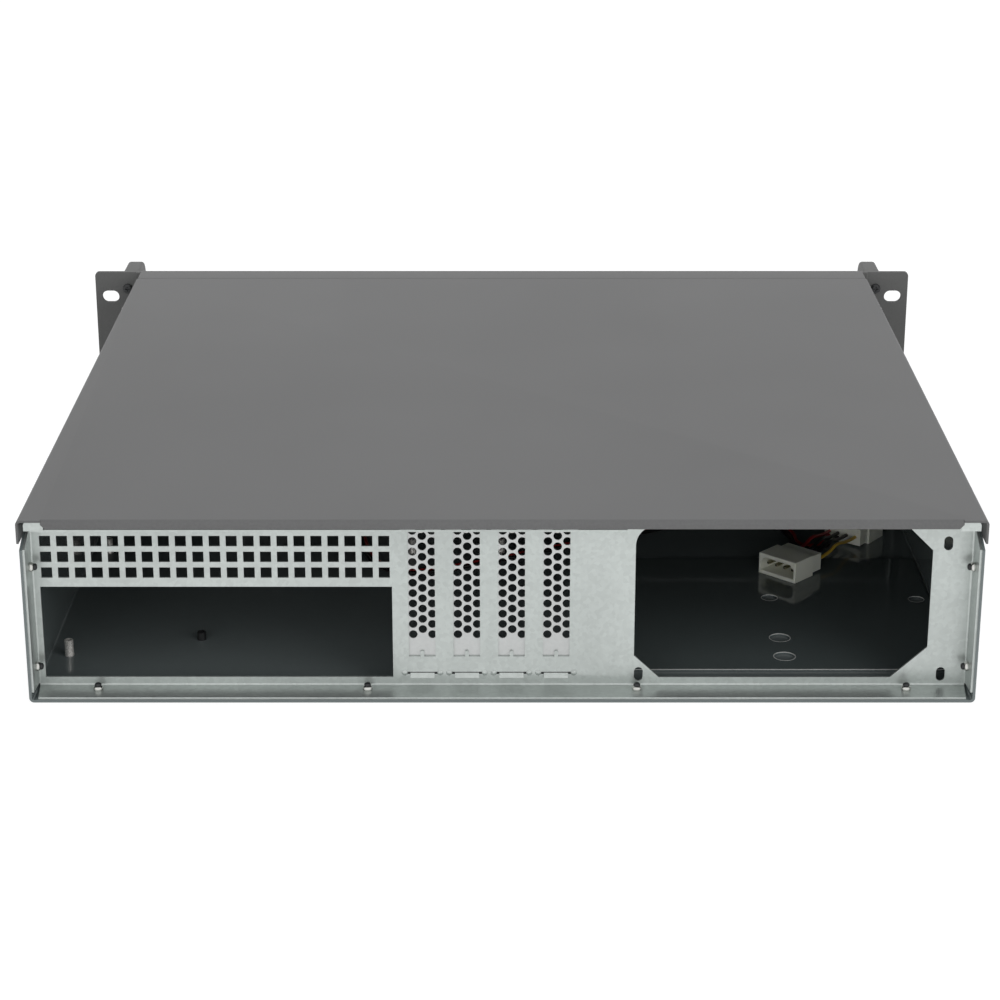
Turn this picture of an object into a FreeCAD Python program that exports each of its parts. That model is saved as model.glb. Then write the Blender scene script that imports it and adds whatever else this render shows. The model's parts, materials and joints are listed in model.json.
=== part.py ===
import FreeCAD, Part
import math
import os

# Empty 2U rackmount server case, in millimetres.
# +Z is up and the case stands on Z = 0. The front (ears, handles) faces -Y and the
# rear (I/O aperture, expansion slots, power supply bay) faces +Y. X = 0 is mid-width,
# and Y = 0 is midway between the rear edge and the tips of the handles.

# Whole case
case_width = 430.0
case_height = 88.0
case_depth = 420.0
ear_reach = 26.3
handle_reach = 45.0

# Sides of the prisms that small round pieces and holes are drawn as
screw_sides = 6
hole_sides = 8
round_sides = 12
hub_sides = 14
fan_bore_sides = 28

# Sheet thicknesses and bends
tray_sheet = 1.2
cover_sheet = 1.0
panel_sheet = 1.0
bezel_sheet = 1.0
ear_sheet = 2.5
cage_sheet = 1.0
rest_plate_sheet = 1.0
slot_cover_sheet = 0.9
inner_bend = 1.0
wall_rim = 9.0

# Clearances
sheet_gap = 0.3
slide_gap = 0.15
screw_gap = 0.1
screw_hole_gap = 0.35
bearing_gap = 0.05

# Cover and the screws its open-ended slots drop over
cover_lip = 11.0
cover_rear_flange = 4.0
cover_flange_inset = 11.0
cover_flange_corner = 2.0
cover_front_gap = 0.5
cover_screw_drop = 6.0
cover_screw_places = (55.0, 205.0, 355.0)
cover_screw_radius = 1.5
cover_screw_head = (2.9, 1.8)
cover_screw_reach = 1.8

# Bezel, standing off the tray's front wall on posts
bezel_flange = 18.0
bezel_stand_off = 2.6
bezel_foot_gap = 0.4
bezel_post_width = 5.5
bezel_post_columns = (-54.0, 98.0, 200.0)
bezel_post_inset = 9.0
louvre_width = 72.0
louvre_height = 3.6
louvre_pitch = 7.2
louvre_rows = 10

# Rear panel and the upper rear corners of the side walls
panel_recess = 14.5
panel_flange_gap = 0.8
panel_mitre = 1.5
panel_corner_relief = 1.4
wall_corner_drop = 14.5
wall_corner_rise = 6.0
ledge_drop = 5.4
ledge_depth = 11.5
ledge_side_gap = 3.8
ledge_length = 264.5
panel_edge_drop = 2.2
io_size = (158.75, 44.45)
io_offset = 80.925
io_height = 28.5
vent_hole = 5.0
vent_pitch = 7.6
vent_columns = 21
vent_margin = 4.375
rivet_floor_places = (-184.0, -61.3, 61.3, 184.0)
rivet_side_heights = (14.0, 62.6)
rivet_inset = 9.0
rivet_radius = 2.2
rivet_height = 3.0

# Power supply bay
psu_side_gap = 19.3
psu_width = 133.5
psu_foot = 6.1
psu_top_drop = 7.7
psu_round_corner = 9.5
psu_top_chamfer = 12.0
psu_inner_chamfer = (11.5, 10.8)
psu_outer_chamfer = (16.3, 15.0)
psu_screw_inset = 2.2
psu_screw_height = 7.7
psu_screw_span = 138.0
psu_screw_rises = (64.0, 74.0)
psu_slot = (4.0, 6.7)
rest_plate_ends = (32.0, 172.0)
rest_plate_overlap = 5.0
rest_plate_hole_inset = 60.9
rest_plate_holes = ((47.0, 5.0), (69.0, 4.9), (119.0, 3.9))
rest_plate_slot = (7.8, 117.0, 7.5, 9.8)

# Expansion slots and their perforated covers
slot_count = 4
slot_pitch = 20.32
first_slot_offset = 173.65
slot_width = 12.1
slot_foot = 16.4
slot_top_drop = 10.8
slot_nib = (1.7, 2.7)
slot_cover_width = 18.4
slot_cover_shoulder = 14.0
slot_tail_width = 10.2
slot_tail_end = 4.3
slot_hole = 3.5
slot_hole_sides = 4
slot_hole_rise = 5.04
slot_hole_low = 27.0
slot_hole_shift = -0.33
slot_screw_place = 5.8
slot_screw_radius = 1.5
slot_screw_head = (2.9, 2.0)
slot_screw_length = 6.0
slot_tab_notch = 2.2
hood_heights = (6.2, 8.6)
hood_width = 11.0
hood_reach = 1.2

# Board standoffs, on the micro-ATX pattern measured from the board's I/O corner
board_side_gap = 2.75
board_edge_gap = 2.1
board_columns = (6.35, 163.83, 209.55)
board_rows = (10.16, 165.10, 237.49)
board_corner_offset = 22.86
standoff_height = 8.0
standoff_radius = 2.1
standoff_bore = 1.25
standoff_bore_depth = 6.0
floor_stud_place = (143.5, 54.0)
floor_stud = (4.4, 4.0)

# Rack ears and handles
ear_end_gap = 0.5
ear_corner = 2.5
ear_leg_length = 34.0
ear_leg_foot = 5.0
ear_leg_drop = 12.5
rack_slot_inset = 8.75
rack_slot_rise = 57.15
rack_slot = (10.0, 7.0)
ear_screw_head = (3.0, 1.8)
ear_screw_heights = (20.0, 60.0)
ear_screw_place = 25.0
handle_offset = 7.2
handle_width = 9.4
handle_bar = 12.0
handle_span = 67.0
handle_grip = 10.0
handle_bend = 10.0
handle_screw_head = (2.9, 1.9)

# Fans
fan_size = 80.0
fan_depth = 25.0
fan_bore = 76.0
fan_corner = 4.0
fan_screw_span = 71.5
fan_screw_hole = 2.15
fan_screw_head = (3.0, 1.6)
fan_places = (50.0, 146.0)
fan_hub_radius = 14.0
fan_hub_depth = 5.0
fan_strut = (3.0, 3.0)
fan_rotor_front = 1.0
fan_rotor_gap = 0.4
fan_tip_gap = 1.2
fan_blade_count = 7
fan_blade_sheet = 1.4
fan_blade_chord = 17.0
fan_blade_pitch = 50.0
fan_shaft_radius = 1.5
fan_strut_angles = (45.0, 135.0, 225.0, 315.0)

# Drive cage and the two bay covers
cage_side_gap = 2.3
cage_width = 149.0
cage_length = 180.0
cage_drop = 3.0
cage_foot = 10.0
cage_slot = (10.0, 3.5)
cage_slot_places = (50.0, 130.0)
cage_slot_height = 52.0
shelf_top = 40.0
shelf_lip = 8.0
shelf_hole = 1.75
shelf_hole_span = (95.25, 44.45)
large_bay = (146.6, 42.0)
large_bay_centre = 62.8
small_bay = (101.6, 25.6)
small_bay_centre = 19.8
bay_seat = 2.0
bay_cover_wall = 2.0

# Front controls
control_x = -27.0
control_spacing = 20.0
power_button_height = 64.0
power_button_radius = 6.0
reset_button_height = 46.0
reset_button_radius = 2.5
button_proud = 1.5
button_flange = 1.2
button_stem = 1.4
button_travel = 1.5
switch_size = (8.0, 7.0)
led_height = 33.0
led_radius = 1.5
led_proud = 0.5
usb_height = 19.0
usb_size = (13.1, 5.7)
usb_wall = 0.5
usb_cavity_depth = 10.0
usb_tongue = (10.0, 1.8, 8.5)
control_board = (46.0, 68.0, 1.6)
control_board_centre = 41.0
control_board_distance = 10.0
control_post_width = 5.0
control_post_inset = 4.0

# Peripheral power lead
wire_radius = 0.9
plug_height = 11.0
plug_shell = (23.0, 15.0)
plug_tail = (21.0, 8.0)
plug_tail_step = 1.0
plug_cavity = (20.4, 7.0, 12.0)
plug_cavity_chamfer = 2.2
pin_pitch = 5.08
pin_radius = 1.05
pin_length = 9.5
socket_bore = 1.4
supply_plug_place = (-138.7, 144.8, 136.8)
fan_socket_place = (-191.8, 213.4, 323.1)
wire_run_share = 0.45
wire_stub = 9.0
wire_arch = 3.0
fan_wire_drop = 2.3
fan_wire_rest = 1.2
fan_wire_end_rise = 2.4
fan_wire_stub = (6.0, 12.0)
fan_wire_red_route = ((-158.7, 189.6), (-154.4, 193.7), (-154.4, 206.0), (-150.6, 220.5), (-132.0, 229.0),
                      (-100.0, 226.0), (-66.0, 208.0), (-24.5, 187.0), (16.0, 165.0), (44.0, 152.0),
                      (60.0, 160.0), (68.0, 178.0), (74.0, 212.0), (75.0, 262.0), (71.0, 312.0),
                      (74.0, 348.0), (75.0, 370.0))
fan_wire_black_route = ((-158.5, 184.0), (-150.9, 190.5), (-150.9, 203.0), (-147.0, 216.5), (-131.0, 225.0),
                        (-101.0, 222.6), (-67.5, 205.0), (-26.0, 184.0), (14.5, 162.0), (44.5, 148.5),
                        (62.5, 157.5), (71.2, 177.0), (77.3, 211.5), (78.3, 262.0), (74.3, 312.0),
                        (77.3, 348.0), (78.3, 370.0))

# Sizes and places worked out from the values above
tray_half = case_width / 2 - cover_sheet
inner_half = tray_half - tray_sheet
rear_y = (case_depth + handle_reach) / 2
front_y = rear_y - case_depth
wall_top = case_height - cover_sheet
bezel_half = tray_half - slide_gap
outer_wall_y = front_y + bezel_sheet + bezel_stand_off
inner_wall_y = outer_wall_y + tray_sheet
panel_y = rear_y - panel_recess
panel_back_y = panel_y - panel_sheet
mid_height = case_height / 2
fan_z = tray_sheet + inner_bend + fan_size / 2
fan_back_y = inner_wall_y + fan_depth
plate_top = tray_sheet + rest_plate_sheet
ear_span = case_width + 2 * ear_reach
rack_slot_span = ear_span - 2 * rack_slot_inset
handle_x = case_width / 2 + handle_offset
board_edge_x = inner_half - board_side_gap
io_centre = (board_edge_x - io_offset, io_height)
ledge_height = case_height - ledge_drop
ledge_ends = (inner_half - ledge_side_gap - ledge_length, inner_half - ledge_side_gap)
panel_high_edge = case_height - panel_edge_drop
wall_corner_height = case_height - wall_corner_drop
vent_low_row = io_height + io_size[1] / 2 + vent_margin + vent_hole / 2
vent_rows = int((ledge_height - vent_low_row) / vent_pitch)
psu_edges = (psu_side_gap - inner_half, psu_side_gap - inner_half + psu_width)
psu_heights = (psu_foot, case_height - psu_top_drop)
rest_plate_edge = psu_edges[1] + rest_plate_overlap
slot_heights = (slot_foot, case_height - slot_top_drop)
slot_hole_rows = int((ledge_height - slot_hole_low) / slot_hole_rise)
slot_centres = [board_edge_x - first_slot_offset - i * slot_pitch for i in range(slot_count)]
cage_front_y = inner_wall_y + inner_bend
cage_low_x = cage_side_gap - inner_half
cage_top = case_height - cage_drop
cage_high_x = cage_low_x + cage_width
cage_mid_x = cage_low_x + cage_width / 2
board_face_y = inner_wall_y + control_board_distance
cover_screw_z = wall_top - cover_screw_drop
cover_screw_ys = [rear_y - place for place in cover_screw_places]


def vec(x, y, z):
    return FreeCAD.Vector(x, y, z)


def block(x, y, z):
    """Box between two values along each axis, in either order."""
    low = [min(pair) for pair in (x, y, z)]
    size = [abs(pair[1] - pair[0]) for pair in (x, y, z)]
    return Part.makeBox(*size, vec(*low))


def rod(radius, start, end):
    return Part.makeCylinder(radius, start.distanceToPoint(end), start, end - start)


def prism(radius, start, end, sides):
    """Regular prism around the line from start to end, radius being that of its flats."""
    shape = along_z(polygon(0, 0, 2 * radius, sides), 0, start.distanceToPoint(end))
    shape.Placement = FreeCAD.Placement(start, FreeCAD.Rotation(vec(0, 0, 1), end - start))
    return shape


def outline(corners, place):
    """Face with corners (a, b) or (a, b, rounding); place turns a, b into a point."""
    joins = []
    for i, corner in enumerate(corners):
        here = place(corner[0], corner[1])
        rounding = corner[2] if len(corner) > 2 else 0.0
        if rounding <= 0:
            joins.append((here, None, here))
            continue
        after = corners[(i + 1) % len(corners)]
        back = (place(*corners[i - 1][:2]) - here).normalize()
        ahead = (place(*after[:2]) - here).normalize()
        half = back.getAngle(ahead) / 2
        reach = rounding / math.tan(half)
        inward = (back + ahead).normalize()
        middle = here + inward * (rounding / math.sin(half) - rounding)
        joins.append((here + back * reach, middle, here + ahead * reach))
    edges = []
    for i, (start, middle, end) in enumerate(joins):
        if middle is not None:
            edges.append(Part.Arc(start, middle, end).toShape())
        following = joins[(i + 1) % len(joins)][0]
        if end.distanceToPoint(following) > 1e-6:
            edges.append(Part.makeLine(end, following))
    return Part.Face(Part.Wire(edges))


def along_y(corners, start, end):
    """Prism whose outline lies in X and Z."""
    return outline(corners, lambda a, b: vec(a, start, b)).extrude(vec(0, end - start, 0))


def along_x(corners, start, end):
    """Prism whose outline lies in Y and Z."""
    return outline(corners, lambda a, b: vec(start, a, b)).extrude(vec(end - start, 0, 0))


def along_z(corners, start, end):
    """Prism whose outline lies in X and Y."""
    return outline(corners, lambda a, b: vec(a, b, start)).extrude(vec(0, 0, end - start))


def rectangle(a, b, width, height, rounding=0.0):
    """Corners of a rectangle about the centre (a, b)."""
    w, h = width / 2, height / 2
    return [(a - w, b - h, rounding), (a + w, b - h, rounding),
            (a + w, b + h, rounding), (a - w, b + h, rounding)]


def obround(a, b, width, height):
    """Corners of a slot with round ends about the centre (a, b)."""
    return rectangle(a, b, width, height, min(width, height) / 2)


def polygon(a, b, across, sides):
    """Corners of a regular polygon from its width across flats."""
    radius = across / 2 / math.cos(math.pi / sides)
    turns = [2 * math.pi * (i + 0.5) / sides - math.pi / 2 for i in range(sides)]
    return [(a + radius * math.cos(t), b + radius * math.sin(t)) for t in turns]


def polygon_slot(a, b, width, height):
    """Corners of a rectangle whose corners are cut off across a quarter of its width."""
    w, h, cut = width / 2, height / 2, min(width, height) / 4
    return [(a - w, b - h + cut), (a - w + cut, b - h), (a + w - cut, b - h), (a + w, b - h + cut),
            (a + w, b + h - cut), (a + w - cut, b + h), (a - w + cut, b + h), (a - w, b + h - cut)]


def joined(first, others):
    return first.fuse(others).removeSplitter()


def mirrored(shape):
    """The same piece on the other side of the case."""
    return shape.mirror(vec(0, 0, 0), vec(1, 0, 0))


def screw(head, seat, outward, shank_radius=0.0, shank_length=0.0):
    """Pan head standing on its seat, with the shank on the other side of the seat."""
    radius, height = head
    shape = prism(radius, seat, seat + outward * height, screw_sides)
    if shank_length > 0:
        shape = joined(shape, [prism(shank_radius, seat - outward * shank_length, seat, screw_sides)])
    return shape


def save(name, *solids):
    shape = solids[0] if len(solids) == 1 else Part.makeCompound(solids)
    if not shape.isValid():
        raise ValueError(name + " is not a valid shape")
    shape.exportStep("parts/" + name + ".step")
    print(name, len(shape.Solids), round(shape.Volume))


# ---- Places shared by several pieces ----

def board_points():
    """Standoff places; the I/O corner one stands further in, clear of the connectors."""
    points = []
    for column in board_columns:
        for row in board_rows:
            is_corner = column == board_columns[0] and row == board_rows[0]
            distance = board_edge_gap + row + (board_corner_offset if is_corner else 0.0)
            points.append((board_edge_x - column, panel_back_y - distance))
    return points


def psu_screw_points():
    near_x, low = psu_edges[1] - psu_screw_inset, psu_screw_height
    far_x = near_x - psu_screw_span
    far_rise, near_rise = psu_screw_rises
    return [(near_x, low), (far_x, low), (far_x, low + far_rise), (near_x, low + near_rise)]


def fan_screw_points(x):
    reach = fan_screw_span / 2
    return [(x + i * reach, fan_z + k * reach) for i in (-1, 1) for k in (-1, 1)]


def bezel_post_points():
    heights = (bezel_post_inset, case_height - bezel_post_inset)
    return [(x, z) for x in bezel_post_columns for z in heights]


def control_pair(height):
    return [(control_x + side * control_spacing / 2, height) for side in (-1, 1)]


# ---- Tray ----

def front_wall_cuts():
    """Fan openings, bay openings and clearance holes of the tray's front wall."""
    start, end = outer_wall_y - sheet_gap, inner_wall_y + sheet_gap
    cuts = [along_y(polygon(x, fan_z, fan_bore, fan_bore_sides), start, end) for x in fan_places]
    for size, centre in ((large_bay, large_bay_centre), (small_bay, small_bay_centre)):
        seat = 2 * bay_seat
        cuts.append(along_y(rectangle(cage_mid_x, centre, size[0] - seat, size[1] - seat), start, end))
    for height, radius in ((power_button_height, power_button_radius),
                           (reset_button_height, reset_button_radius)):
        clear = 2 * (radius + button_flange + sheet_gap)
        cuts.append(along_y(polygon(control_x, height, clear, round_sides), start, end))
    for x, z in control_pair(led_height):
        cuts.append(along_y(polygon(x, z, 2 * (led_radius + sheet_gap), hole_sides), start, end))
    for x, z in control_pair(usb_height):
        window = rectangle(x, z, usb_size[0] + 2 * sheet_gap, usb_size[1] + 2 * sheet_gap)
        cuts.append(along_y(window, start, end))
    return cuts


def chassis_tray():
    """Floor, side walls with inturned rims, and front wall, folded from one sheet."""
    outer_bend = inner_bend + tray_sheet
    rim = tray_half - wall_rim
    rim_under = wall_top - tray_sheet
    channel = [(-rim, wall_top), (-tray_half, wall_top, outer_bend), (-tray_half, 0, outer_bend),
               (tray_half, 0, outer_bend), (tray_half, wall_top, outer_bend), (rim, wall_top),
               (rim, rim_under), (inner_half, rim_under, inner_bend), (inner_half, tray_sheet, inner_bend),
               (-inner_half, tray_sheet, inner_bend), (-inner_half, rim_under, inner_bend),
               (-rim, rim_under)]
    fold_y = outer_wall_y + outer_bend
    lap_y = fold_y + tray_sheet
    front = [(outer_wall_y, wall_top), (outer_wall_y, 0, outer_bend), (lap_y, 0), (lap_y, tray_sheet),
             (inner_wall_y, tray_sheet, inner_bend), (inner_wall_y, wall_top)]
    front_half = inner_half - inner_bend
    walls = [block((side * inner_half, side * tray_half), (outer_wall_y, fold_y), (outer_bend, wall_top))
             for side in (-1, 1)]
    tray = joined(along_y(channel, rear_y, fold_y), walls + [along_x(front, -front_half, front_half)])
    corner = [(rear_y + 1, wall_corner_height), (panel_y, wall_corner_height + wall_corner_rise),
              (panel_y, case_height), (rear_y + 1, case_height)]
    cuts = [along_x(corner, -case_width, case_width)] + front_wall_cuts()
    for y in cover_screw_ys:
        hole = polygon(y, cover_screw_z, 2 * (cover_screw_radius + screw_hole_gap), hole_sides)
        cuts.append(along_x(hole, -case_width, case_width))
    return tray.cut(cuts)


# ---- Cover ----

def top_cover():
    """Lift-off cover: top, side lips outside the walls and a short rear flange."""
    outer_bend = inner_bend + cover_sheet
    half = case_width / 2
    lip_end = case_height - cover_lip
    channel = [(-half, lip_end), (-half, case_height, outer_bend), (half, case_height, outer_bend),
               (half, lip_end), (tray_half, lip_end), (tray_half, wall_top, inner_bend),
               (-tray_half, wall_top, inner_bend), (-tray_half, lip_end)]
    front_end = front_y + bezel_flange + cover_front_gap
    flange_end = case_height - cover_rear_flange
    fold_y = rear_y - outer_bend
    flange_half = half - cover_flange_inset
    rear = [(rear_y, flange_end), (rear_y, case_height, outer_bend), (fold_y - inner_bend, case_height),
            (fold_y - inner_bend, wall_top), (rear_y - cover_sheet, wall_top, inner_bend),
            (rear_y - cover_sheet, flange_end)]
    fold_space = block((-flange_half, flange_half), (fold_y, rear_y), (flange_end, case_height))
    cover = joined(along_y(channel, rear_y, front_end).cut(fold_space),
                   [along_x(rear, -flange_half, flange_half)])
    cuts = []
    for side in (-1, 1):
        corner = [(side * flange_half, flange_end), (side * flange_half, flange_end + cover_flange_corner),
                  (side * (flange_half - cover_flange_corner), flange_end)]
        cuts.append(along_y(corner, rear_y, rear_y - cover_sheet))
    slot_half = cover_screw_radius + screw_hole_gap
    slot_end = cover_screw_z + slot_half
    for y in cover_screw_ys:
        slot = [(y - slot_half, lip_end), (y + slot_half, lip_end), (y + slot_half, slot_end - slot_half / 2),
                (y + slot_half / 2, slot_end), (y - slot_half / 2, slot_end),
                (y - slot_half, slot_end - slot_half / 2)]
        cuts.append(along_x(slot, -case_width, case_width))
    return cover.cut(cuts)


def cover_screws():
    screws = []
    for side in (-1, 1):
        for y in cover_screw_ys:
            seat = vec(side * (case_width / 2 + slide_gap), y, cover_screw_z)
            shank = cover_sheet + slide_gap + tray_sheet + cover_screw_reach
            screws.append(screw(cover_screw_head, seat, vec(side, 0, 0), cover_screw_radius, shank))
    return screws


# ---- Rear panel ----

def psu_opening():
    """Octagon-like opening, with one round corner that clears the hidden fourth screw."""
    low_x, high_x = psu_edges
    low, high = psu_heights
    corners = [(low_x + psu_outer_chamfer[0], low), (high_x - psu_inner_chamfer[0], low),
               (high_x, low + psu_inner_chamfer[1]), (high_x, high, psu_round_corner),
               (low_x + psu_top_chamfer, high), (low_x, high - psu_top_chamfer),
               (low_x, low + psu_outer_chamfer[1])]
    return along_y(corners, panel_back_y - sheet_gap, panel_y + sheet_gap)


def rear_panel_cuts():
    through = (panel_back_y - sheet_gap, panel_y + sheet_gap)
    cuts = [psu_opening(), along_y(rectangle(*io_centre, *io_size), *through)]
    vent_first = io_centre[0] - (vent_columns - 1) * vent_pitch / 2
    for column in range(vent_columns):
        for row in range(vent_rows):
            x = vent_first + column * vent_pitch
            z = vent_low_row + row * vent_pitch
            cuts.append(along_y(rectangle(x, z, vent_hole, vent_hole), *through))
    for x, z in psu_screw_points():
        cuts.append(along_y(obround(x, z, *psu_slot), *through))
    for x in slot_centres:
        low, high = slot_heights
        cuts.append(block((x - slot_width / 2, x + slot_width / 2), through, (low, high)))
        cuts.append(block((x - hood_width / 2, x + hood_width / 2), through, hood_heights))
        hole = polygon(x, panel_y + slot_screw_place, 2 * (slot_screw_radius + screw_hole_gap), hole_sides)
        cuts.append(along_z(hole, ledge_height - 2 * panel_sheet, ledge_height + panel_sheet))
    return cuts


def rear_panel():
    """Folded panel: flanges back along the floor and walls, and a screw ledge on top."""
    outer_bend = inner_bend + panel_sheet
    flange_y = rear_y - panel_flange_gap
    inner_x = inner_half - panel_sheet
    sides = [(-inner_half, flange_y), (-inner_half, panel_back_y, outer_bend),
             (inner_half, panel_back_y, outer_bend), (inner_half, flange_y), (inner_x, flange_y),
             (inner_x, panel_y, inner_bend), (-inner_x, panel_y, inner_bend), (-inner_x, flange_y)]
    base_top = tray_sheet + panel_sheet + inner_bend
    shell = along_z(sides, base_top, panel_high_edge)
    ledge_low = ledge_height - outer_bend
    flange_top = [(rear_y, wall_corner_height), (panel_y, wall_corner_height + wall_corner_rise),
                  (panel_y, case_height), (rear_y, case_height)]
    flange_foot = [(panel_y, base_top), (rear_y, base_top), (rear_y, base_top + panel_mitre)]
    ledge_space = block((ledge_ends[0], case_width), (rear_y, panel_back_y), (ledge_low, case_height))
    shell = shell.cut([along_x(flange_top, -case_width, case_width),
                       along_x(flange_foot, -case_width, case_width), ledge_space])
    base_half = inner_half - panel_corner_relief
    base = [(flange_y, tray_sheet), (flange_y, plate_top), (panel_y, plate_top, inner_bend),
            (panel_y, base_top), (panel_back_y, base_top), (panel_back_y, tray_sheet, outer_bend)]
    foot = along_x(base, -base_half, base_half)
    for side in (-1, 1):
        mitre = [(side * base_half, panel_y), (side * (base_half - panel_mitre), rear_y),
                 (side * case_width, rear_y), (side * case_width, panel_y)]
        foot = foot.cut(along_z(mitre, 0, base_top))
    ledge = [(panel_y, ledge_low), (panel_y, ledge_height - panel_sheet, inner_bend),
             (panel_y + ledge_depth, ledge_height - panel_sheet), (panel_y + ledge_depth, ledge_height),
             (panel_back_y, ledge_height, outer_bend), (panel_back_y, ledge_low)]
    pieces = [foot, along_x(ledge, *ledge_ends)]
    panel = joined(shell, pieces).cut(rear_panel_cuts())
    return joined(panel, slot_hoods() + slot_nibs())


def slot_hoods():
    """Pressed-out hoods, open below and at both ends, that cover the slot covers' tails."""
    low, high = hood_heights
    profile = [(panel_y, high), (panel_y + hood_reach, low), (panel_y + hood_reach - panel_sheet, low),
               (panel_back_y, high)]
    half = hood_width / 2
    return [along_x(profile, x - half, x + half) for x in slot_centres]


def slot_nibs():
    """Small upright tabs left at the foot of each slot opening."""
    width, height = slot_nib
    low = slot_heights[0]
    tabs = []
    for x in slot_centres:
        quarter = width / 4
        corners = [(x - width / 2, low), (x + width / 2, low), (x + width / 2, low + height - quarter),
                   (x + quarter, low + height), (x - quarter, low + height),
                   (x - width / 2, low + height - quarter)]
        tabs.append(along_y(corners, panel_back_y, panel_y))
    return tabs


def rivets():
    """Bulged tails of the blind rivets that hold the rear panel in the tray."""
    middle_y = rear_y - rivet_inset
    seats = [(vec(x, middle_y, plate_top), vec(0, 0, 1)) for x in rivet_floor_places]
    for side in (-1, 1):
        wall = side * (inner_half - panel_sheet)
        seats += [(vec(wall, middle_y, z), vec(-side, 0, 0)) for z in rivet_side_heights]
    return [prism(rivet_radius, seat, seat + inward * rivet_height, hole_sides) for seat, inward in seats]


# ---- Expansion slot covers ----

def slot_cover(x):
    """Perforated cover behind its slot, hung from the ledge by the tab at its top."""
    half = slot_cover_width / 2
    tail = slot_tail_width / 2
    face_y = panel_back_y - slot_cover_sheet
    top = ledge_height + slot_cover_sheet
    step = half - tail
    corners = [(x - half, top), (x - half, slot_cover_shoulder), (x - tail, slot_cover_shoulder - step),
               (x - tail, slot_tail_end), (x + tail, slot_tail_end), (x + tail, slot_cover_shoulder - step),
               (x + half, slot_cover_shoulder), (x + half, top)]
    plate = along_y(corners, face_y, panel_back_y)
    tab_end = panel_y + ledge_depth - sheet_gap
    cover = joined(plate, [block((x - half, x + half), (face_y, tab_end), (ledge_height, top))])
    notch_end = panel_y + slot_screw_place - slot_tab_notch
    notch = [(x - slot_tab_notch, notch_end), (x + slot_tab_notch, notch_end),
             (x + slot_tab_notch, tab_end), (x - slot_tab_notch, tab_end)]
    cuts = [along_z(notch, ledge_height - 1, top + 1)]
    column_pitch = slot_hole_rise * math.cos(math.pi / 6)
    for column in (-1, 0, 1):
        hole_x = x + slot_hole_shift - column * column_pitch
        raised = column == 0
        for row in range(slot_hole_rows - raised):
            hole_z = slot_hole_low + (row + raised / 2) * slot_hole_rise
            corners = polygon(hole_x, hole_z, slot_hole, slot_hole_sides)
            cuts.append(along_y(corners, face_y - 1, panel_back_y + 1))
    return cover.cut(cuts)


def slot_cover_screws():
    top = ledge_height + slot_cover_sheet
    return [screw(slot_screw_head, vec(x, panel_y + slot_screw_place, top), vec(0, 0, 1),
                  slot_screw_radius, slot_screw_length) for x in slot_centres]


# ---- Floor fittings ----

def board_standoffs():
    posts = []
    top = tray_sheet + standoff_height
    for x, y in board_points():
        bore = rod(standoff_bore, vec(x, y, top - standoff_bore_depth), vec(x, y, top))
        posts.append(along_z(polygon(x, y, 2 * standoff_radius, hole_sides), tray_sheet, top).cut(bore))
    return posts


def spare_stud():
    """Low hexagonal stud on the floor for another board size."""
    x, distance = floor_stud_place
    across, height = floor_stud
    return along_z(polygon(x, panel_back_y - distance, across, 6), tray_sheet, tray_sheet + height)


def psu_rest_plate():
    """Flat plate on the floor that carries the power supply, with three holes and a slot."""
    start, end = (rear_y - distance for distance in rest_plate_ends)
    far_edge = -inner_half + inner_bend + sheet_gap
    plate = block((far_edge, rest_plate_edge), (start, end), (tray_sheet, plate_top))
    cuts = []
    hole_x = psu_edges[0] + rest_plate_hole_inset
    for distance, radius in rest_plate_holes:
        hole = polygon(hole_x, rear_y - distance, 2 * radius, round_sides)
        cuts.append(along_z(hole, tray_sheet, plate_top))
    inset, distance, width, length = rest_plate_slot
    slot = polygon_slot(inset - inner_half, rear_y - distance, width, length)
    cuts.append(along_z(slot, tray_sheet, plate_top))
    return plate.cut(cuts)


# ---- Drive cage ----

def drive_cage():
    """Hat-shaped cage with its feet turned in, open at front and rear."""
    low, high = cage_low_x, cage_high_x
    foot_top = tray_sheet + cage_sheet
    outer_bend = inner_bend + cage_sheet
    profile = [(low, tray_sheet), (low, cage_top, outer_bend), (high, cage_top, outer_bend),
               (high, tray_sheet), (high - cage_foot, tray_sheet), (high - cage_foot, foot_top),
               (high - cage_sheet, foot_top), (high - cage_sheet, cage_top - cage_sheet, inner_bend),
               (low + cage_sheet, cage_top - cage_sheet, inner_bend), (low + cage_sheet, foot_top),
               (low + cage_foot, foot_top), (low + cage_foot, tray_sheet)]
    cage = along_y(profile, cage_front_y, cage_front_y + cage_length)
    slots = []
    for place in cage_slot_places:
        corners = polygon_slot(cage_front_y + place, cage_slot_height, *cage_slot)
        slots.append(along_x(corners, low - 1, high + 1))
    return cage.cut(slots)


def drive_shelf():
    """Shelf between the cage's sides, under the large bay and over the small one."""
    low, high = cage_low_x + cage_sheet, cage_high_x - cage_sheet
    outer_bend = inner_bend + cage_sheet
    lip_end = shelf_top - shelf_lip
    under = shelf_top - cage_sheet
    profile = [(low, lip_end), (low, shelf_top, outer_bend), (high, shelf_top, outer_bend), (high, lip_end),
               (high - cage_sheet, lip_end), (high - cage_sheet, under, inner_bend),
               (low + cage_sheet, under, inner_bend), (low + cage_sheet, lip_end)]
    shelf = along_y(profile, cage_front_y, cage_front_y + cage_length)
    holes = []
    for side in (-1, 1):
        for row in (-1, 1):
            x = cage_mid_x + side * shelf_hole_span[0] / 2
            y = cage_front_y + cage_length / 2 + row * shelf_hole_span[1] / 2
            holes.append(rod(shelf_hole, vec(x, y, under), vec(x, y, shelf_top)))
    return shelf.cut(holes)


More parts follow.
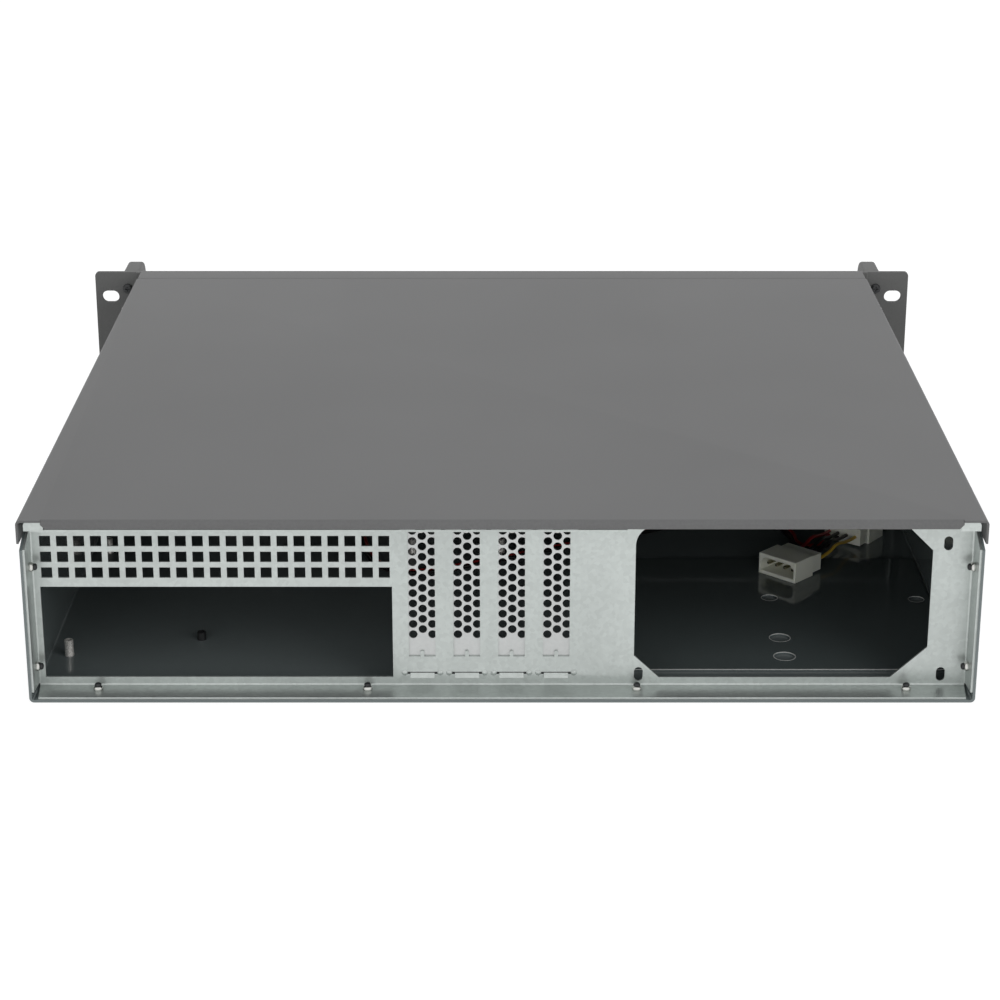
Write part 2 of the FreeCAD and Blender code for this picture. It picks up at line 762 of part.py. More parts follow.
def bay_cover(size, centre):
    """Blank for a drive bay, hollow behind, seated on the tray's front wall."""
    width, height = size
    cover = along_y(rectangle(cage_mid_x, centre, width, height), front_y, outer_wall_y)
    wall = 2 * bay_cover_wall
    hollow = rectangle(cage_mid_x, centre, width - wall, height - wall)
    return cover.cut(along_y(hollow, front_y + bay_cover_wall, outer_wall_y))


# ---- Bezel, ears and handles ----

def front_bezel():
    """Front plate with a top flange that closes the case ahead of the cover."""
    outer_bend = inner_bend + bezel_sheet
    back_y = front_y + bezel_sheet
    profile = [(front_y, bezel_foot_gap), (front_y, case_height, outer_bend),
               (front_y + bezel_flange, case_height), (front_y + bezel_flange, wall_top),
               (back_y, wall_top, inner_bend), (back_y, bezel_foot_gap)]
    bezel = along_x(profile, -bezel_half, bezel_half)
    through = (front_y - 1, back_y + 1)
    cuts = []
    for x in fan_places:
        low_row = fan_z - (louvre_rows - 1) * louvre_pitch / 2
        for row in range(louvre_rows):
            slot = rectangle(x, low_row + row * louvre_pitch, louvre_width, louvre_height)
            cuts.append(along_y(slot, *through))
    gap = 2 * sheet_gap
    for size, centre in ((large_bay, large_bay_centre), (small_bay, small_bay_centre)):
        cuts.append(along_y(rectangle(cage_mid_x, centre, size[0] + gap, size[1] + gap), *through))
    for height, radius in ((power_button_height, power_button_radius),
                           (reset_button_height, reset_button_radius)):
        cuts.append(along_y(polygon(control_x, height, 2 * (radius + sheet_gap), round_sides), *through))
    for x, z in control_pair(led_height):
        cuts.append(along_y(polygon(x, z, 2 * (led_radius + screw_gap), round_sides), *through))
    for x, z in control_pair(usb_height):
        cuts.append(along_y(rectangle(x, z, usb_size[0] + gap, usb_size[1] + gap), *through))
    return bezel.cut(cuts)


def bezel_posts():
    return [along_y(polygon(x, z, bezel_post_width, 6), front_y + bezel_sheet, outer_wall_y)
            for x, z in bezel_post_points()]


def right_ear():
    """Folded angle: a leg along the side wall and the slotted rack plate."""
    half = ear_span / 2
    outer_bend = inner_bend + ear_sheet
    back_y = front_y + ear_sheet
    leg_x = tray_half + ear_sheet
    leg_y = front_y + ear_leg_length
    profile = [(tray_half, front_y, outer_bend), (half, front_y), (half, back_y),
               (leg_x, back_y, inner_bend), (leg_x, leg_y), (tray_half, leg_y)]
    low, high = ear_end_gap, case_height - ear_end_gap
    ear = along_z(profile, low, high)
    leg_low, leg_high = ear_leg_foot, case_height - ear_leg_drop
    bend_end = back_y + inner_bend
    cuts = [block((tray_half, leg_x), (bend_end, leg_y), (leg_high, case_height)),
            block((tray_half, leg_x), (bend_end, leg_y), (0, leg_low))]
    plate = [(0, low), (half, low, ear_corner), (half, high, ear_corner), (0, high)]
    square = [(0, low), (half, low), (half, high), (0, high)]
    cuts.append(along_y(square, front_y, back_y).cut(along_y(plate, front_y, back_y)))
    for row in (-1, 1):
        z = mid_height + row * rack_slot_rise / 2
        cuts.append(along_y(obround(rack_slot_span / 2, z, *rack_slot), front_y - 1, back_y + 1))
    return ear.cut(cuts)


def right_handle():
    """U-shaped bar standing out from the ear."""
    tip_y = front_y - handle_reach
    high = mid_height + (handle_span + handle_bar) / 2
    low = mid_height - (handle_span + handle_bar) / 2
    grip_y = tip_y + handle_grip
    inner_corner = handle_bend / 2
    profile = [(front_y, low), (tip_y, low, handle_bend), (tip_y, high, handle_bend), (front_y, high),
               (front_y, high - handle_bar), (grip_y, high - handle_bar, inner_corner),
               (grip_y, low + handle_bar, inner_corner), (front_y, low + handle_bar)]
    return along_x(profile, handle_x - handle_width / 2, handle_x + handle_width / 2)


def handle_screws():
    seat_y = front_y + ear_sheet
    heights = [mid_height + row * handle_span / 2 for row in (-1, 1)]
    return [screw(handle_screw_head, vec(side * handle_x, seat_y, z), vec(0, 1, 0))
            for side in (-1, 1) for z in heights]


def ear_screws():
    seat_x = tray_half + ear_sheet
    return [screw(ear_screw_head, vec(side * seat_x, front_y + ear_screw_place, z), vec(side, 0, 0))
            for side in (-1, 1) for z in ear_screw_heights]


# ---- Fans ----

def fan_frame(x):
    """Square frame with a round duct; four struts carry the bearing hub at the back."""
    half, cut = fan_size / 2, fan_corner
    square = [(x - half, fan_z - half + cut), (x - half + cut, fan_z - half), (x + half - cut, fan_z - half),
              (x + half, fan_z - half + cut), (x + half, fan_z + half - cut), (x + half - cut, fan_z + half),
              (x - half + cut, fan_z + half), (x - half, fan_z + half - cut)]
    frame = along_y(square, inner_wall_y, fan_back_y)
    frame = frame.cut(along_y(polygon(x, fan_z, fan_bore, fan_bore_sides), inner_wall_y, fan_back_y))
    hub_y = fan_back_y - fan_hub_depth
    hub = along_y(polygon(x, fan_z, 2 * fan_hub_radius, hub_sides), hub_y, fan_back_y)
    width, depth = fan_strut
    struts = []
    for angle in fan_strut_angles:
        strut = block((x, x + fan_bore / 2 + 1), (fan_back_y - depth, fan_back_y),
                      (fan_z - width / 2, fan_z + width / 2))
        strut.rotate(vec(x, 0, fan_z), vec(0, 1, 0), angle)
        struts.append(strut)
    frame = joined(frame, struts + [hub])
    bearing = fan_shaft_radius + bearing_gap
    cuts = [rod(bearing, vec(x, hub_y, fan_z), vec(x, fan_back_y, fan_z))]
    for screw_x, screw_z in fan_screw_points(x):
        hole = polygon(screw_x, screw_z, 2 * fan_screw_hole, hole_sides)
        cuts.append(along_y(hole, inner_wall_y, fan_back_y))
    return frame.cut(cuts)


def fan_rotor(x):
    """Hub with pitched blades on a shaft that turns in the frame's bearing."""
    hub_start = inner_wall_y + fan_rotor_front
    hub_end = fan_back_y - fan_hub_depth - fan_rotor_gap
    hub = along_y(polygon(x, fan_z, 2 * fan_hub_radius, hub_sides), hub_start, hub_end)
    shaft = rod(fan_shaft_radius, vec(x, hub_end, fan_z), vec(x, fan_back_y, fan_z))
    middle = vec(x, (hub_start + hub_end) / 2, fan_z)
    blades = []
    for i in range(fan_blade_count):
        section = rectangle(0, 0, fan_blade_sheet, fan_blade_chord)
        blade = along_z(section, fan_hub_radius - fan_blade_sheet, fan_bore / 2 - fan_tip_gap)
        blade.rotate(vec(0, 0, 0), vec(0, 0, 1), fan_blade_pitch)
        blade.translate(middle)
        blade.rotate(middle, vec(0, 1, 0), 360.0 * i / fan_blade_count)
        blades.append(blade)
    return joined(hub, [shaft] + blades)


def fan_screws():
    return [screw(fan_screw_head, vec(screw_x, outer_wall_y, screw_z), vec(0, -1, 0))
            for x in fan_places for screw_x, screw_z in fan_screw_points(x)]


# ---- Front controls ----

def push_button(height, radius):
    """Cap through the bezel, a retaining flange behind it and a stem to the switch."""
    flange_y = front_y + bezel_sheet + slide_gap
    stem_y = flange_y + button_flange
    switch_y = board_face_y - switch_size[1]
    cap = along_y(polygon(control_x, height, 2 * radius, round_sides), front_y - button_proud, flange_y)
    flange = along_y(polygon(control_x, height, 2 * (radius + button_flange), round_sides), flange_y, stem_y)
    stem_end = switch_y - button_travel - screw_gap
    stem = along_y(polygon(control_x, height, 2 * button_stem, hole_sides), stem_y, stem_end)
    return joined(cap, [flange, stem])


def push_switches():
    side, depth = switch_size
    return [along_y(rectangle(control_x, z, side, side), board_face_y - depth, board_face_y)
            for z in (power_button_height, reset_button_height)]


def indicator_leds():
    return [along_y(polygon(x, z, 2 * led_radius, round_sides), front_y - led_proud, board_face_y)
            for x, z in control_pair(led_height)]


def usb_sockets():
    width, height = usb_size
    tongue_width, tongue_height, tongue_length = usb_tongue
    sockets = []
    for x, z in control_pair(usb_height):
        body = along_y(rectangle(x, z, width, height), front_y, board_face_y)
        mouth = rectangle(x, z, width - 2 * usb_wall, height - 2 * usb_wall)
        body = body.cut(along_y(mouth, front_y, front_y + usb_cavity_depth))
        tongue = rectangle(x, z + height / 2 - usb_wall - tongue_height, tongue_width, tongue_height)
        tongue_start = front_y + usb_cavity_depth - tongue_length
        sockets.append(joined(body, [along_y(tongue, tongue_start, front_y + usb_cavity_depth)]))
    return sockets


def control_circuit_board():
    width, height, thickness = control_board
    corners = rectangle(control_x, control_board_centre, width, height)
    return along_y(corners, board_face_y, board_face_y + thickness)


def control_posts():
    width, height, _ = control_board
    across = width / 2 - control_post_inset
    rise = height / 2 - control_post_inset
    return [along_y(polygon(control_x + i * across, control_board_centre + k * rise, control_post_width, 6),
                    inner_wall_y, board_face_y) for i in (-1, 1) for k in (-1, 1)]


# ---- Peripheral power lead ----

def lay(shape, place):
    """Turn a connector made about the origin and lay it in the power supply bay."""
    x, distance, angle = place
    shape.rotate(vec(0, 0, 0), vec(0, 0, 1), angle)
    shape.translate(vec(x, rear_y - distance, 0))
    return shape


def lead_housing(place, base):
    """Connector housing: mating shell first, then the tail that the wires enter."""
    shell_width, shell_length = plug_shell
    tail_width, tail_length = plug_tail
    shell = block((-shell_width / 2, shell_width / 2), (0, shell_length), (base, base + plug_height))
    tail = block((-tail_width / 2, tail_width / 2), (shell_length, shell_length + tail_length),
                 (base + plug_tail_step, base + plug_height - plug_tail_step))
    return joined(shell, [tail])


def pin_places():
    return [(i - 1.5) * pin_pitch for i in range(4)]


def supply_plug_housing():
    """Housing with a deep mouth, bevelled along one side, around four pins."""
    width, height, depth = plug_cavity
    middle = plate_top + plug_height / 2
    low, high = middle - height / 2, middle + height / 2
    bevel = plug_cavity_chamfer
    mouth = [(-width / 2, low), (width / 2, low), (width / 2, high - bevel), (width / 2 - bevel, high),
             (-width / 2 + bevel, high), (-width / 2, high - bevel)]
    housing = lead_housing(supply_plug_place, plate_top).cut(along_y(mouth, 0, depth))
    return lay(housing, supply_plug_place)


def supply_plug_pins():
    root = plug_cavity[2]
    height = plate_top + plug_height / 2
    return [lay(along_y(polygon(x, height, 2 * pin_radius, hole_sides), root - pin_length, root),
                supply_plug_place) for x in pin_places()]


def fan_socket_housing():
    """Housing of the pass-through socket, with four bores for another plug's pins."""
    housing = lead_housing(fan_socket_place, tray_sheet)
    height = tray_sheet + plug_height / 2
    bores = [along_y(polygon(x, height, 2 * socket_bore, hole_sides), 0, pin_length) for x in pin_places()]
    return lay(housing.cut(bores), fan_socket_place)


def tail_point(place, across, out, z):
    """Point in front of a laid connector's tail, where its wires leave."""
    x, distance, angle = place
    point = FreeCAD.Rotation(vec(0, 0, 1), angle).multVec(vec(across, plug_shell[1] + plug_tail[1] + out, z))
    return point + vec(x, rear_y - distance, 0)


def wire(points):
    """Wire along straight runs joined by large arcs, as a square section of a round wire's area."""
    edges = []
    radii = []
    start = points[0]
    for before, here, after in zip(points, points[1:], points[2:]):
        reach = wire_run_share * min(here.distanceToPoint(before), here.distanceToPoint(after))
        back = (before - here).normalize()
        ahead = (after - here).normalize()
        half = back.getAngle(ahead) / 2
        radius = reach * math.tan(half)
        radii.append(round(radius, 1))
        inward = (back + ahead).normalize()
        middle = here + inward * (radius / math.sin(half) - radius)
        edges.append(Part.makeLine(start, here + back * reach))
        edges.append(Part.Arc(here + back * reach, middle, here + ahead * reach).toShape())
        start = here + ahead * reach
    edges.append(Part.makeLine(start, points[-1]))
    path = Part.Wire(edges)
    side = wire_radius * math.sqrt(math.pi)
    section = outline(rectangle(0, 0, side, side), lambda a, b: vec(a, b, 0)).OuterWire
    section.Placement = FreeCAD.Placement(points[0], FreeCAD.Rotation(vec(0, 0, 1), points[1] - points[0]))
    solid = path.makePipeShell([section], True, False)
    expected = side ** 2 * path.Length
    print("wire length", round(path.Length, 1), "smallest radius", min(radii),
          "volume over section times length", round(solid.Volume / expected, 4))
    return solid


def lead_wire(index):
    """Short wire from one contact of the supply plug to the same contact of the socket."""
    across = pin_places()[index]
    plug_z = plate_top + plug_height / 2
    socket_z = tray_sheet + plug_height / 2
    start = tail_point(supply_plug_place, across, 0, plug_z)
    leaving = tail_point(supply_plug_place, across, wire_stub, plug_z)
    arriving = tail_point(fan_socket_place, -across, wire_stub, socket_z)
    end = tail_point(fan_socket_place, -across, 0, socket_z)
    middle = (leaving + arriving) * 0.5 + vec(0, 0, wire_arch)
    return wire([start, leaving, middle, arriving, end])


def fan_wire(index, route):
    """Long wire from the socket, along the floor to the foot of the first fan."""
    across = pin_places()[index]
    socket_z = tray_sheet + plug_height / 2 - fan_wire_drop
    rest_z = tray_sheet + fan_wire_rest
    end_z = tray_sheet + fan_wire_end_rise
    points = [tail_point(fan_socket_place, across, 0, socket_z),
              tail_point(fan_socket_place, across, fan_wire_stub[0], socket_z),
              tail_point(fan_socket_place, across, fan_wire_stub[1], rest_z)]
    points += [vec(x, rear_y - distance, rest_z) for x, distance in route[:-1]]
    last_x, last_distance = route[-1]
    points += [vec(last_x, rear_y - last_distance, end_z), vec(last_x, fan_back_y, end_z)]
    return wire(points)


os.makedirs("parts", exist_ok=True)
save("chassis_tray", chassis_tray())
save("top_cover", top_cover())
save("cover_screws", *cover_screws())
save("rear_panel", rear_panel())
save("rivets", *rivets())
for number, centre in enumerate(slot_centres, 1):
    save("slot_cover_" + str(number), slot_cover(centre))
save("slot_cover_screws", *slot_cover_screws())
save("board_standoffs", *board_standoffs())
save("spare_stud", spare_stud())
save("psu_rest_plate", psu_rest_plate())
save("drive_cage", drive_cage())
save("drive_shelf", drive_shelf())
save("large_bay_cover", bay_cover(large_bay, large_bay_centre))
save("small_bay_cover", bay_cover(small_bay, small_bay_centre))
save("front_bezel", front_bezel())
save("bezel_posts", *bezel_posts())
save("right_ear", right_ear())
save("left_ear", mirrored(right_ear()))
save("ear_screws", *ear_screws())
save("right_handle", right_handle())
save("left_handle", mirrored(right_handle()))
save("handle_screws", *handle_screws())
for number, centre in enumerate(fan_places, 1):
    save("fan_frame_" + str(number), fan_frame(centre))
    save("fan_rotor_" + str(number), fan_rotor(centre))
save("fan_screws", *fan_screws())
save("power_button", push_button(power_button_height, power_button_radius))
save("reset_button", push_button(reset_button_height, reset_button_radius))
save("push_switches", *push_switches())
save("indicator_leds", *indicator_leds())
save("usb_sockets", *usb_sockets())
save("control_circuit_board", control_circuit_board())
save("control_posts", *control_posts())
save("supply_plug_housing", supply_plug_housing())
save("supply_plug_pins", *supply_plug_pins())
save("fan_socket_housing", fan_socket_housing())
for index, name in enumerate(("red", "black_1", "black_2", "yellow")):
    save("lead_wire_" + name, lead_wire(index))
save("fan_wire_red", fan_wire(3, fan_wire_red_route))
save("fan_wire_black", fan_wire(2, fan_wire_black_route))
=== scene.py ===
import json
import math

import bmesh
import bpy
from mathutils import Matrix, Vector


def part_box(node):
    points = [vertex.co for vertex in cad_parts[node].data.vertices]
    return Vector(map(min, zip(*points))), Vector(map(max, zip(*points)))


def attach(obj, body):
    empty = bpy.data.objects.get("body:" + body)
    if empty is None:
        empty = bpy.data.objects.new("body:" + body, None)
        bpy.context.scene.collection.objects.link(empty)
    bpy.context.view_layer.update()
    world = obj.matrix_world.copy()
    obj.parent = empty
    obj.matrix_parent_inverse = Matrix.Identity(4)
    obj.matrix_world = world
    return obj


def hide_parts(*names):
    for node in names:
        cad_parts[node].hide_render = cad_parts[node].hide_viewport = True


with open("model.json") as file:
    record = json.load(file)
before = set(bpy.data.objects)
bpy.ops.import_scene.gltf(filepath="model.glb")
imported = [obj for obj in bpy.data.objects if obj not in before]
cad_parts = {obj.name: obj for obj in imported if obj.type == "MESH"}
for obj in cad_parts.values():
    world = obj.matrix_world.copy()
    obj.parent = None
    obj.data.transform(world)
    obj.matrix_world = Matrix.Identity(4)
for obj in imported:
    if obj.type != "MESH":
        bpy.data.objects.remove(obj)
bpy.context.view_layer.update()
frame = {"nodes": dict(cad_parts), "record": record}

# Empty 2U rackmount server case, seen from behind and above.
# Lengths are in metres unless MM or a comment says otherwise. +Z is up and the rear faces +Y.

NODES = frame["nodes"]
MM = 0.001
WELD = 0.000002
SAME_PLACE = 1e-7


# ---- Camera ----

TILT_DOWN = 20.3

camera_data = bpy.data.cameras.new("camera")
camera_data.lens = 92.63
camera_data.clip_end = 20.0
camera = bpy.data.objects.new("camera", camera_data)
camera.location = (0.001, 1.2933, 0.4902)
camera.rotation_euler = (math.radians(90.0 - TILT_DOWN), 0.0, math.radians(180.0))
bpy.context.scene.collection.objects.link(camera)
bpy.context.scene.camera = camera
bpy.context.scene.view_settings.view_transform = "Standard"


# ---- Materials ----

def colour(code):
    """Linear colour of an sRGB hex code."""
    parts = [int(code[i:i + 2], 16) / 255 for i in (0, 2, 4)]
    return [p / 12.92 if p <= 0.04045 else ((p + 0.055) / 1.055) ** 2.4 for p in parts]


def add(tree, kind, inputs=None, **settings):
    """Adds a node; inputs gives sockets, by name or number, a value or another node's output."""
    node = tree.nodes.new("ShaderNode" + kind)
    for key, value in settings.items():
        setattr(node, key, value)
    for key, value in (inputs or {}).items():
        if isinstance(value, bpy.types.NodeSocket):
            tree.links.new(value, node.inputs[key])
        else:
            node.inputs[key].default_value = value
    return node


def blank(name):
    """Empty material, its node tree and the Object coordinates."""
    material = bpy.data.materials.new(name)
    material.use_nodes = True
    tree = material.node_tree
    tree.nodes.clear()
    return material, tree, add(tree, "TexCoord").outputs["Object"]


def finish_with(tree, surface):
    shader = add(tree, "BsdfPrincipled", surface)
    add(tree, "OutputMaterial", {"Surface": shader.outputs["BSDF"]})


def powder_coat(name, code, roughness, gloss=0.3, grit=1.1, peel_depth=0.10):
    """Baked epoxy powder: orange peel, its grit in millimetres, and faint clouds 140 mm across."""
    material, tree, place = blank(name)
    clouds = add(tree, "TexNoise", {"Vector": place, "Scale": 7.0, "Detail": 2.0})
    peel = add(tree, "TexNoise", {"Vector": place, "Scale": 1 / (grit * MM), "Detail": 3.0})
    light = add(tree, "MapRange", {"Value": clouds.outputs["Fac"], "From Min": 0.3, "From Max": 0.7,
                                   "To Min": 0.95, "To Max": 1.05})
    speck = add(tree, "MapRange", {"Value": peel.outputs["Fac"], "From Min": 0.3, "From Max": 0.7,
                                   "To Min": 1 - 0.6 * peel_depth, "To Max": 1 + 0.6 * peel_depth})
    both = add(tree, "Math", {0: light.outputs[0], 1: speck.outputs[0]}, operation="MULTIPLY")
    tone = add(tree, "VectorMath", {0: colour(code), 3: both.outputs[0]}, operation="SCALE")
    rough = add(tree, "MapRange", {"Value": peel.outputs["Fac"], "To Min": roughness * 0.85,
                                   "To Max": roughness * 1.15})
    relief = add(tree, "Bump", {"Height": peel.outputs["Fac"], "Strength": peel_depth, "Distance": 0.1 * MM})
    finish_with(tree, {"Base Color": tone.outputs[0], "Roughness": rough.outputs[0],
                       "Specular IOR Level": gloss, "Normal": relief.outputs[0]})
    return material


def galvanised(name, code, roughness, crystal=1.7, contrast=0.10, metal=0.72):
    """Zinc-coated sheet: small crystals of uneven shine, their size in millimetres, rolling streaks
    3 mm apart that run up the sheet, and handling smudges 90 mm across. A thin oxide film scatters
    part of the light, so the sheet isn't a full mirror metal."""
    material, tree, place = blank(name)
    crystals = add(tree, "TexVoronoi", {"Vector": place, "Scale": 1 / (crystal * MM)})
    shade = add(tree, "SeparateColor", {"Color": crystals.outputs["Color"]})
    smudge = add(tree, "TexNoise", {"Vector": place, "Scale": 11.0, "Detail": 5.0, "Distortion": 0.6})
    stretched = add(tree, "Mapping", {"Vector": place, "Scale": (300.0, 300.0, 14.0)})
    streaks = add(tree, "TexNoise", {"Vector": stretched.outputs[0], "Scale": 1.0, "Detail": 3.0})
    spangle = add(tree, "MapRange", {"Value": shade.outputs["Red"], "To Min": 1 - contrast, "To Max": 1.0})
    wiped = add(tree, "MapRange", {"Value": smudge.outputs["Fac"], "From Min": 0.3, "From Max": 0.7,
                                   "To Min": 0.86, "To Max": 1.04})
    both = add(tree, "Math", {0: spangle.outputs[0], 1: wiped.outputs[0]}, operation="MULTIPLY")
    tone = add(tree, "VectorMath", {0: colour(code), 3: both.outputs[0]}, operation="SCALE")
    rough = add(tree, "MapRange", {"Value": streaks.outputs["Fac"], "From Min": 0.3, "From Max": 0.7,
                                   "To Min": roughness - 0.05, "To Max": roughness + 0.07})
    relief = add(tree, "Bump", {"Height": shade.outputs["Green"], "Strength": 0.05, "Distance": 0.05 * MM})
    finish_with(tree, {"Base Color": tone.outputs[0], "Metallic": metal, "Roughness": rough.outputs[0],
                       "Normal": relief.outputs[0]})
    return material


def plated(name, code, roughness, metal=1.0):
    """Plated or bare metal: tarnish clouds 2 mm across and tool marks, which are drawn 0.4 mm
    apart so that they show."""
    material, tree, place = blank(name)
    clouds = add(tree, "TexNoise", {"Vector": place, "Scale": 1 / (2 * MM), "Detail": 3.0})
    marks = add(tree, "TexNoise", {"Vector": place, "Scale": 2600.0, "Detail": 2.0})
    dull = add(tree, "MapRange", {"Value": clouds.outputs["Fac"], "To Min": 0.80, "To Max": 1.08})
    tone = add(tree, "VectorMath", {0: colour(code), 3: dull.outputs[0]}, operation="SCALE")
    rough = add(tree, "MapRange", {"Value": marks.outputs["Fac"], "To Min": roughness - 0.06,
                                   "To Max": roughness + 0.10})
    relief = add(tree, "Bump", {"Height": marks.outputs["Fac"], "Strength": 0.06, "Distance": 0.05 * MM})
    finish_with(tree, {"Base Color": tone.outputs[0], "Metallic": metal, "Roughness": rough.outputs[0],
                       "Normal": relief.outputs[0]})
    return material


def moulded(name, code, roughness, through=0.0, grain=0.9):
    """Moulded plastic: a spark-eroded grain, in millimetres and coarse enough to show, and flow
    clouds 14 mm across. through lets light into pale nylon and lenses."""
    material, tree, place = blank(name)
    clouds = add(tree, "TexNoise", {"Vector": place, "Scale": 70.0, "Detail": 2.0})
    pits = add(tree, "TexNoise", {"Vector": place, "Scale": 1 / (grain * MM), "Detail": 2.0})
    flow = add(tree, "MapRange", {"Value": clouds.outputs["Fac"], "To Min": 0.90, "To Max": 1.06})
    tone = add(tree, "VectorMath", {0: colour(code), 3: flow.outputs[0]}, operation="SCALE")
    rough = add(tree, "MapRange", {"Value": pits.outputs["Fac"], "To Min": roughness - 0.06,
                                   "To Max": roughness + 0.08})
    relief = add(tree, "Bump", {"Height": pits.outputs["Fac"], "Strength": 0.06, "Distance": 0.08 * MM})
    finish_with(tree, {"Base Color": tone.outputs[0], "Roughness": rough.outputs[0],
                       "Subsurface Weight": through, "Subsurface Radius": (0.004, 0.004, 0.003),
                       "Subsurface Scale": 0.5, "Normal": relief.outputs[0]})
    return material


# Powder coats. Outside the case it is a dull gray that spreads lamps into broad patches.
gray_coat = powder_coat("gray_powder_coat", "636363", 0.52, gloss=0.35)
ear_coat = powder_coat("gray_powder_coat_ears", "626261", 0.55)
# The tray's is smooth and glossy enough to mirror the rear panel and the plug softly. Its gray is lighter
# and more green-tinted than the outer coat's; the lift is painted light for the dim inside of the case.
tray_coat_lightened = powder_coat("gray_powder_coat_tray_lightened", "6c7474", 0.13, gloss=0.5, grit=4.0, peel_depth=0.02)
# The rest plate's is the smoothest and darkest, a blurred dark mirror.
plate_coat = powder_coat("dark_powder_coat_rest_plate", "565e5e", 0.07, gloss=0.5, grit=4.0,
                         peel_depth=0.01)

# Zinc-coated steel sheet: a pale silvery gray, slightly uneven. The slot covers are finer grained.
zinc_sheet = galvanised("galvanised_sheet", "c6ccc9", 0.36)
cover_sheet = galvanised("electroplated_slot_cover", "cacccb", 0.34, crystal=1.2, contrast=0.05)

# Cut steel through a coat is a thin pale line, more bright paint than mirror.
cut_edge = plated("bare_cut_edge", "dcdedb", 0.50, metal=0.3)
# Zinc-plated screws and rivets are bright, with hard small highlights.
bright_zinc = plated("bright_zinc_plate", "d4d4d0", 0.22)
# Black oxide on screws and the spare stud is nearly black with an oily sheen. The same material paints
# shade: the dark domes on the rivets stand for their hollow centres, and the strips on the slot-cover
# bridges for the gaps there.
black_oxide_and_shade = plated("black_oxide_steel_and_painted_shade", "3a3b3c", 0.30, metal=0.6)
# Satin nickel on the standoffs is warm, pale and evenly lit.
satin_nickel = plated("satin_nickel_plate", "e6e3de", 0.26, metal=0.55)
# Tinned brass contacts are pale yellow-white and bright.
tinned = plated("tinned_contact", "e2dcc4", 0.18)

# Moulded ABS and glass-filled fan plastic are dark and matt; the fans' is nearly black.
dark_abs = moulded("dark_gray_abs", "3c3e3e", 0.5)
fan_pbt = moulded("black_fan_plastic", "171717", 0.42)
# Natural nylon and the lights' lenses let light in a little, so their edges glow.
nylon = moulded("natural_nylon", "e2e4d8", 0.36, through=0.25, grain=1.4)
milky = moulded("milky_lens", "ccd6ca", 0.22, through=0.4)
# Extruded wire sleeves are smooth and slightly glossy, in plain strong colours.
red_pvc = moulded("red_pvc_sleeve", "97201f", 0.36, grain=2.0)
yellow_pvc = moulded("yellow_pvc_sleeve", "c9a53c", 0.36, grain=2.0)
black_pvc = moulded("black_pvc_sleeve", "161616", 0.34, grain=2.0)
# Glass laminate under solder resist is a deep glossy green.
laminate = moulded("green_glass_laminate", "1f4a2c", 0.32, grain=1.2)

FINISH = {
    "gray_paint": gray_coat, "galvanised_steel": zinc_sheet, "zinc_fastener": bright_zinc,
    "cover_steel": cover_sheet, "handle_paint": ear_coat, "bay_plastic": dark_abs, "fan_plastic": fan_pbt,
    "button_plastic": dark_abs, "led_plastic": milky, "board_laminate": laminate,
    "connector_nylon": nylon, "pin_brass": tinned, "wire_red": red_pvc, "wire_yellow": yellow_pvc,
    "wire_black": black_pvc,
}
OWN_FINISH = {"chassis_tray": tray_coat_lightened, "psu_rest_plate": plate_coat, "left_ear": ear_coat,
              "right_ear": ear_coat}


# ---- Cords ----

def cord(name, points, material, node):
    """Wire of 1.8 mm over its sleeve along one smooth curve, in place of a CAD node's."""
    curve = bpy.data.curves.new(name, "CURVE")
    curve.dimensions = "3D"
    curve.bevel_depth = 0.9 * MM
    curve.bevel_resolution = 4
    curve.use_fill_caps = True
    spline = curve.splines.new("NURBS")
    spline.points.add(len(points) - 1)
    for point, place in zip(spline.points, points):
        point.co = tuple(place) + (1.0,)
    spline.order_u = 3
    spline.use_endpoint_u = True
    spline.resolution_u = 14
    curve.materials.append(material)
    obj = bpy.data.objects.new(name, curve)
    bpy.context.scene.collection.objects.link(obj)
    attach(obj, "chassis")
    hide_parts(node)


# Each wire's route. The fan wires run from the fan over the floor into the plug's second half.
FAN_RED = [
    (0.075, -0.1577, 0.0036), (0.075, -0.1375, 0.0036), (0.074, -0.1155, 0.0024),
    (0.071, -0.0795, 0.0024), (0.075, -0.0295, 0.0024), (0.074, 0.0205, 0.0024),
    (0.068, 0.0545, 0.0024), (0.06, 0.0725, 0.0024), (0.044, 0.0805, 0.0024), (0.016, 0.0675, 0.0024),
    (-0.0245, 0.0455, 0.0024), (-0.066, 0.0245, 0.0024), (-0.1, 0.0065, 0.0024),
    (-0.132, 0.0035, 0.0024), (-0.1506, 0.012, 0.0024), (-0.1544, 0.0265, 0.0024),
    (-0.1544, 0.0388, 0.0024), (-0.1587, 0.0429, 0.0024), (-0.16469, 0.04251, 0.0024),
    (-0.16829, 0.03772, 0.0044), (-0.1719, 0.03292, 0.0044),
]
FAN_BLACK = [
    (0.0783, -0.1577, 0.0036), (0.0783, -0.1375, 0.0036), (0.0773, -0.1155, 0.0024),
    (0.0743, -0.0795, 0.0024), (0.0783, -0.0295, 0.0024), (0.0773, 0.021, 0.0024),
    (0.0712, 0.0555, 0.0024), (0.0625, 0.075, 0.0024), (0.0445, 0.084, 0.0024),
    (0.0145, 0.0705, 0.0024), (-0.026, 0.0485, 0.0024), (-0.0675, 0.0275, 0.0024),
    (-0.101, 0.0099, 0.0024), (-0.131, 0.0075, 0.0024), (-0.147, 0.016, 0.0024),
    (-0.1509, 0.0295, 0.0024), (-0.1509, 0.042, 0.0024), (-0.1585, 0.0485, 0.0024),
    (-0.16875, 0.04556, 0.0024), (-0.17236, 0.04077, 0.0044), (-0.17596, 0.03597, 0.0044),
]
LEAD_RED = [
    (-0.1719, 0.03292, 0.0067), (-0.16649, 0.04011, 0.0067), (-0.16077, 0.04964, 0.0102),
    (-0.15505, 0.05916, 0.0077), (-0.14889, 0.06572, 0.0077),
]
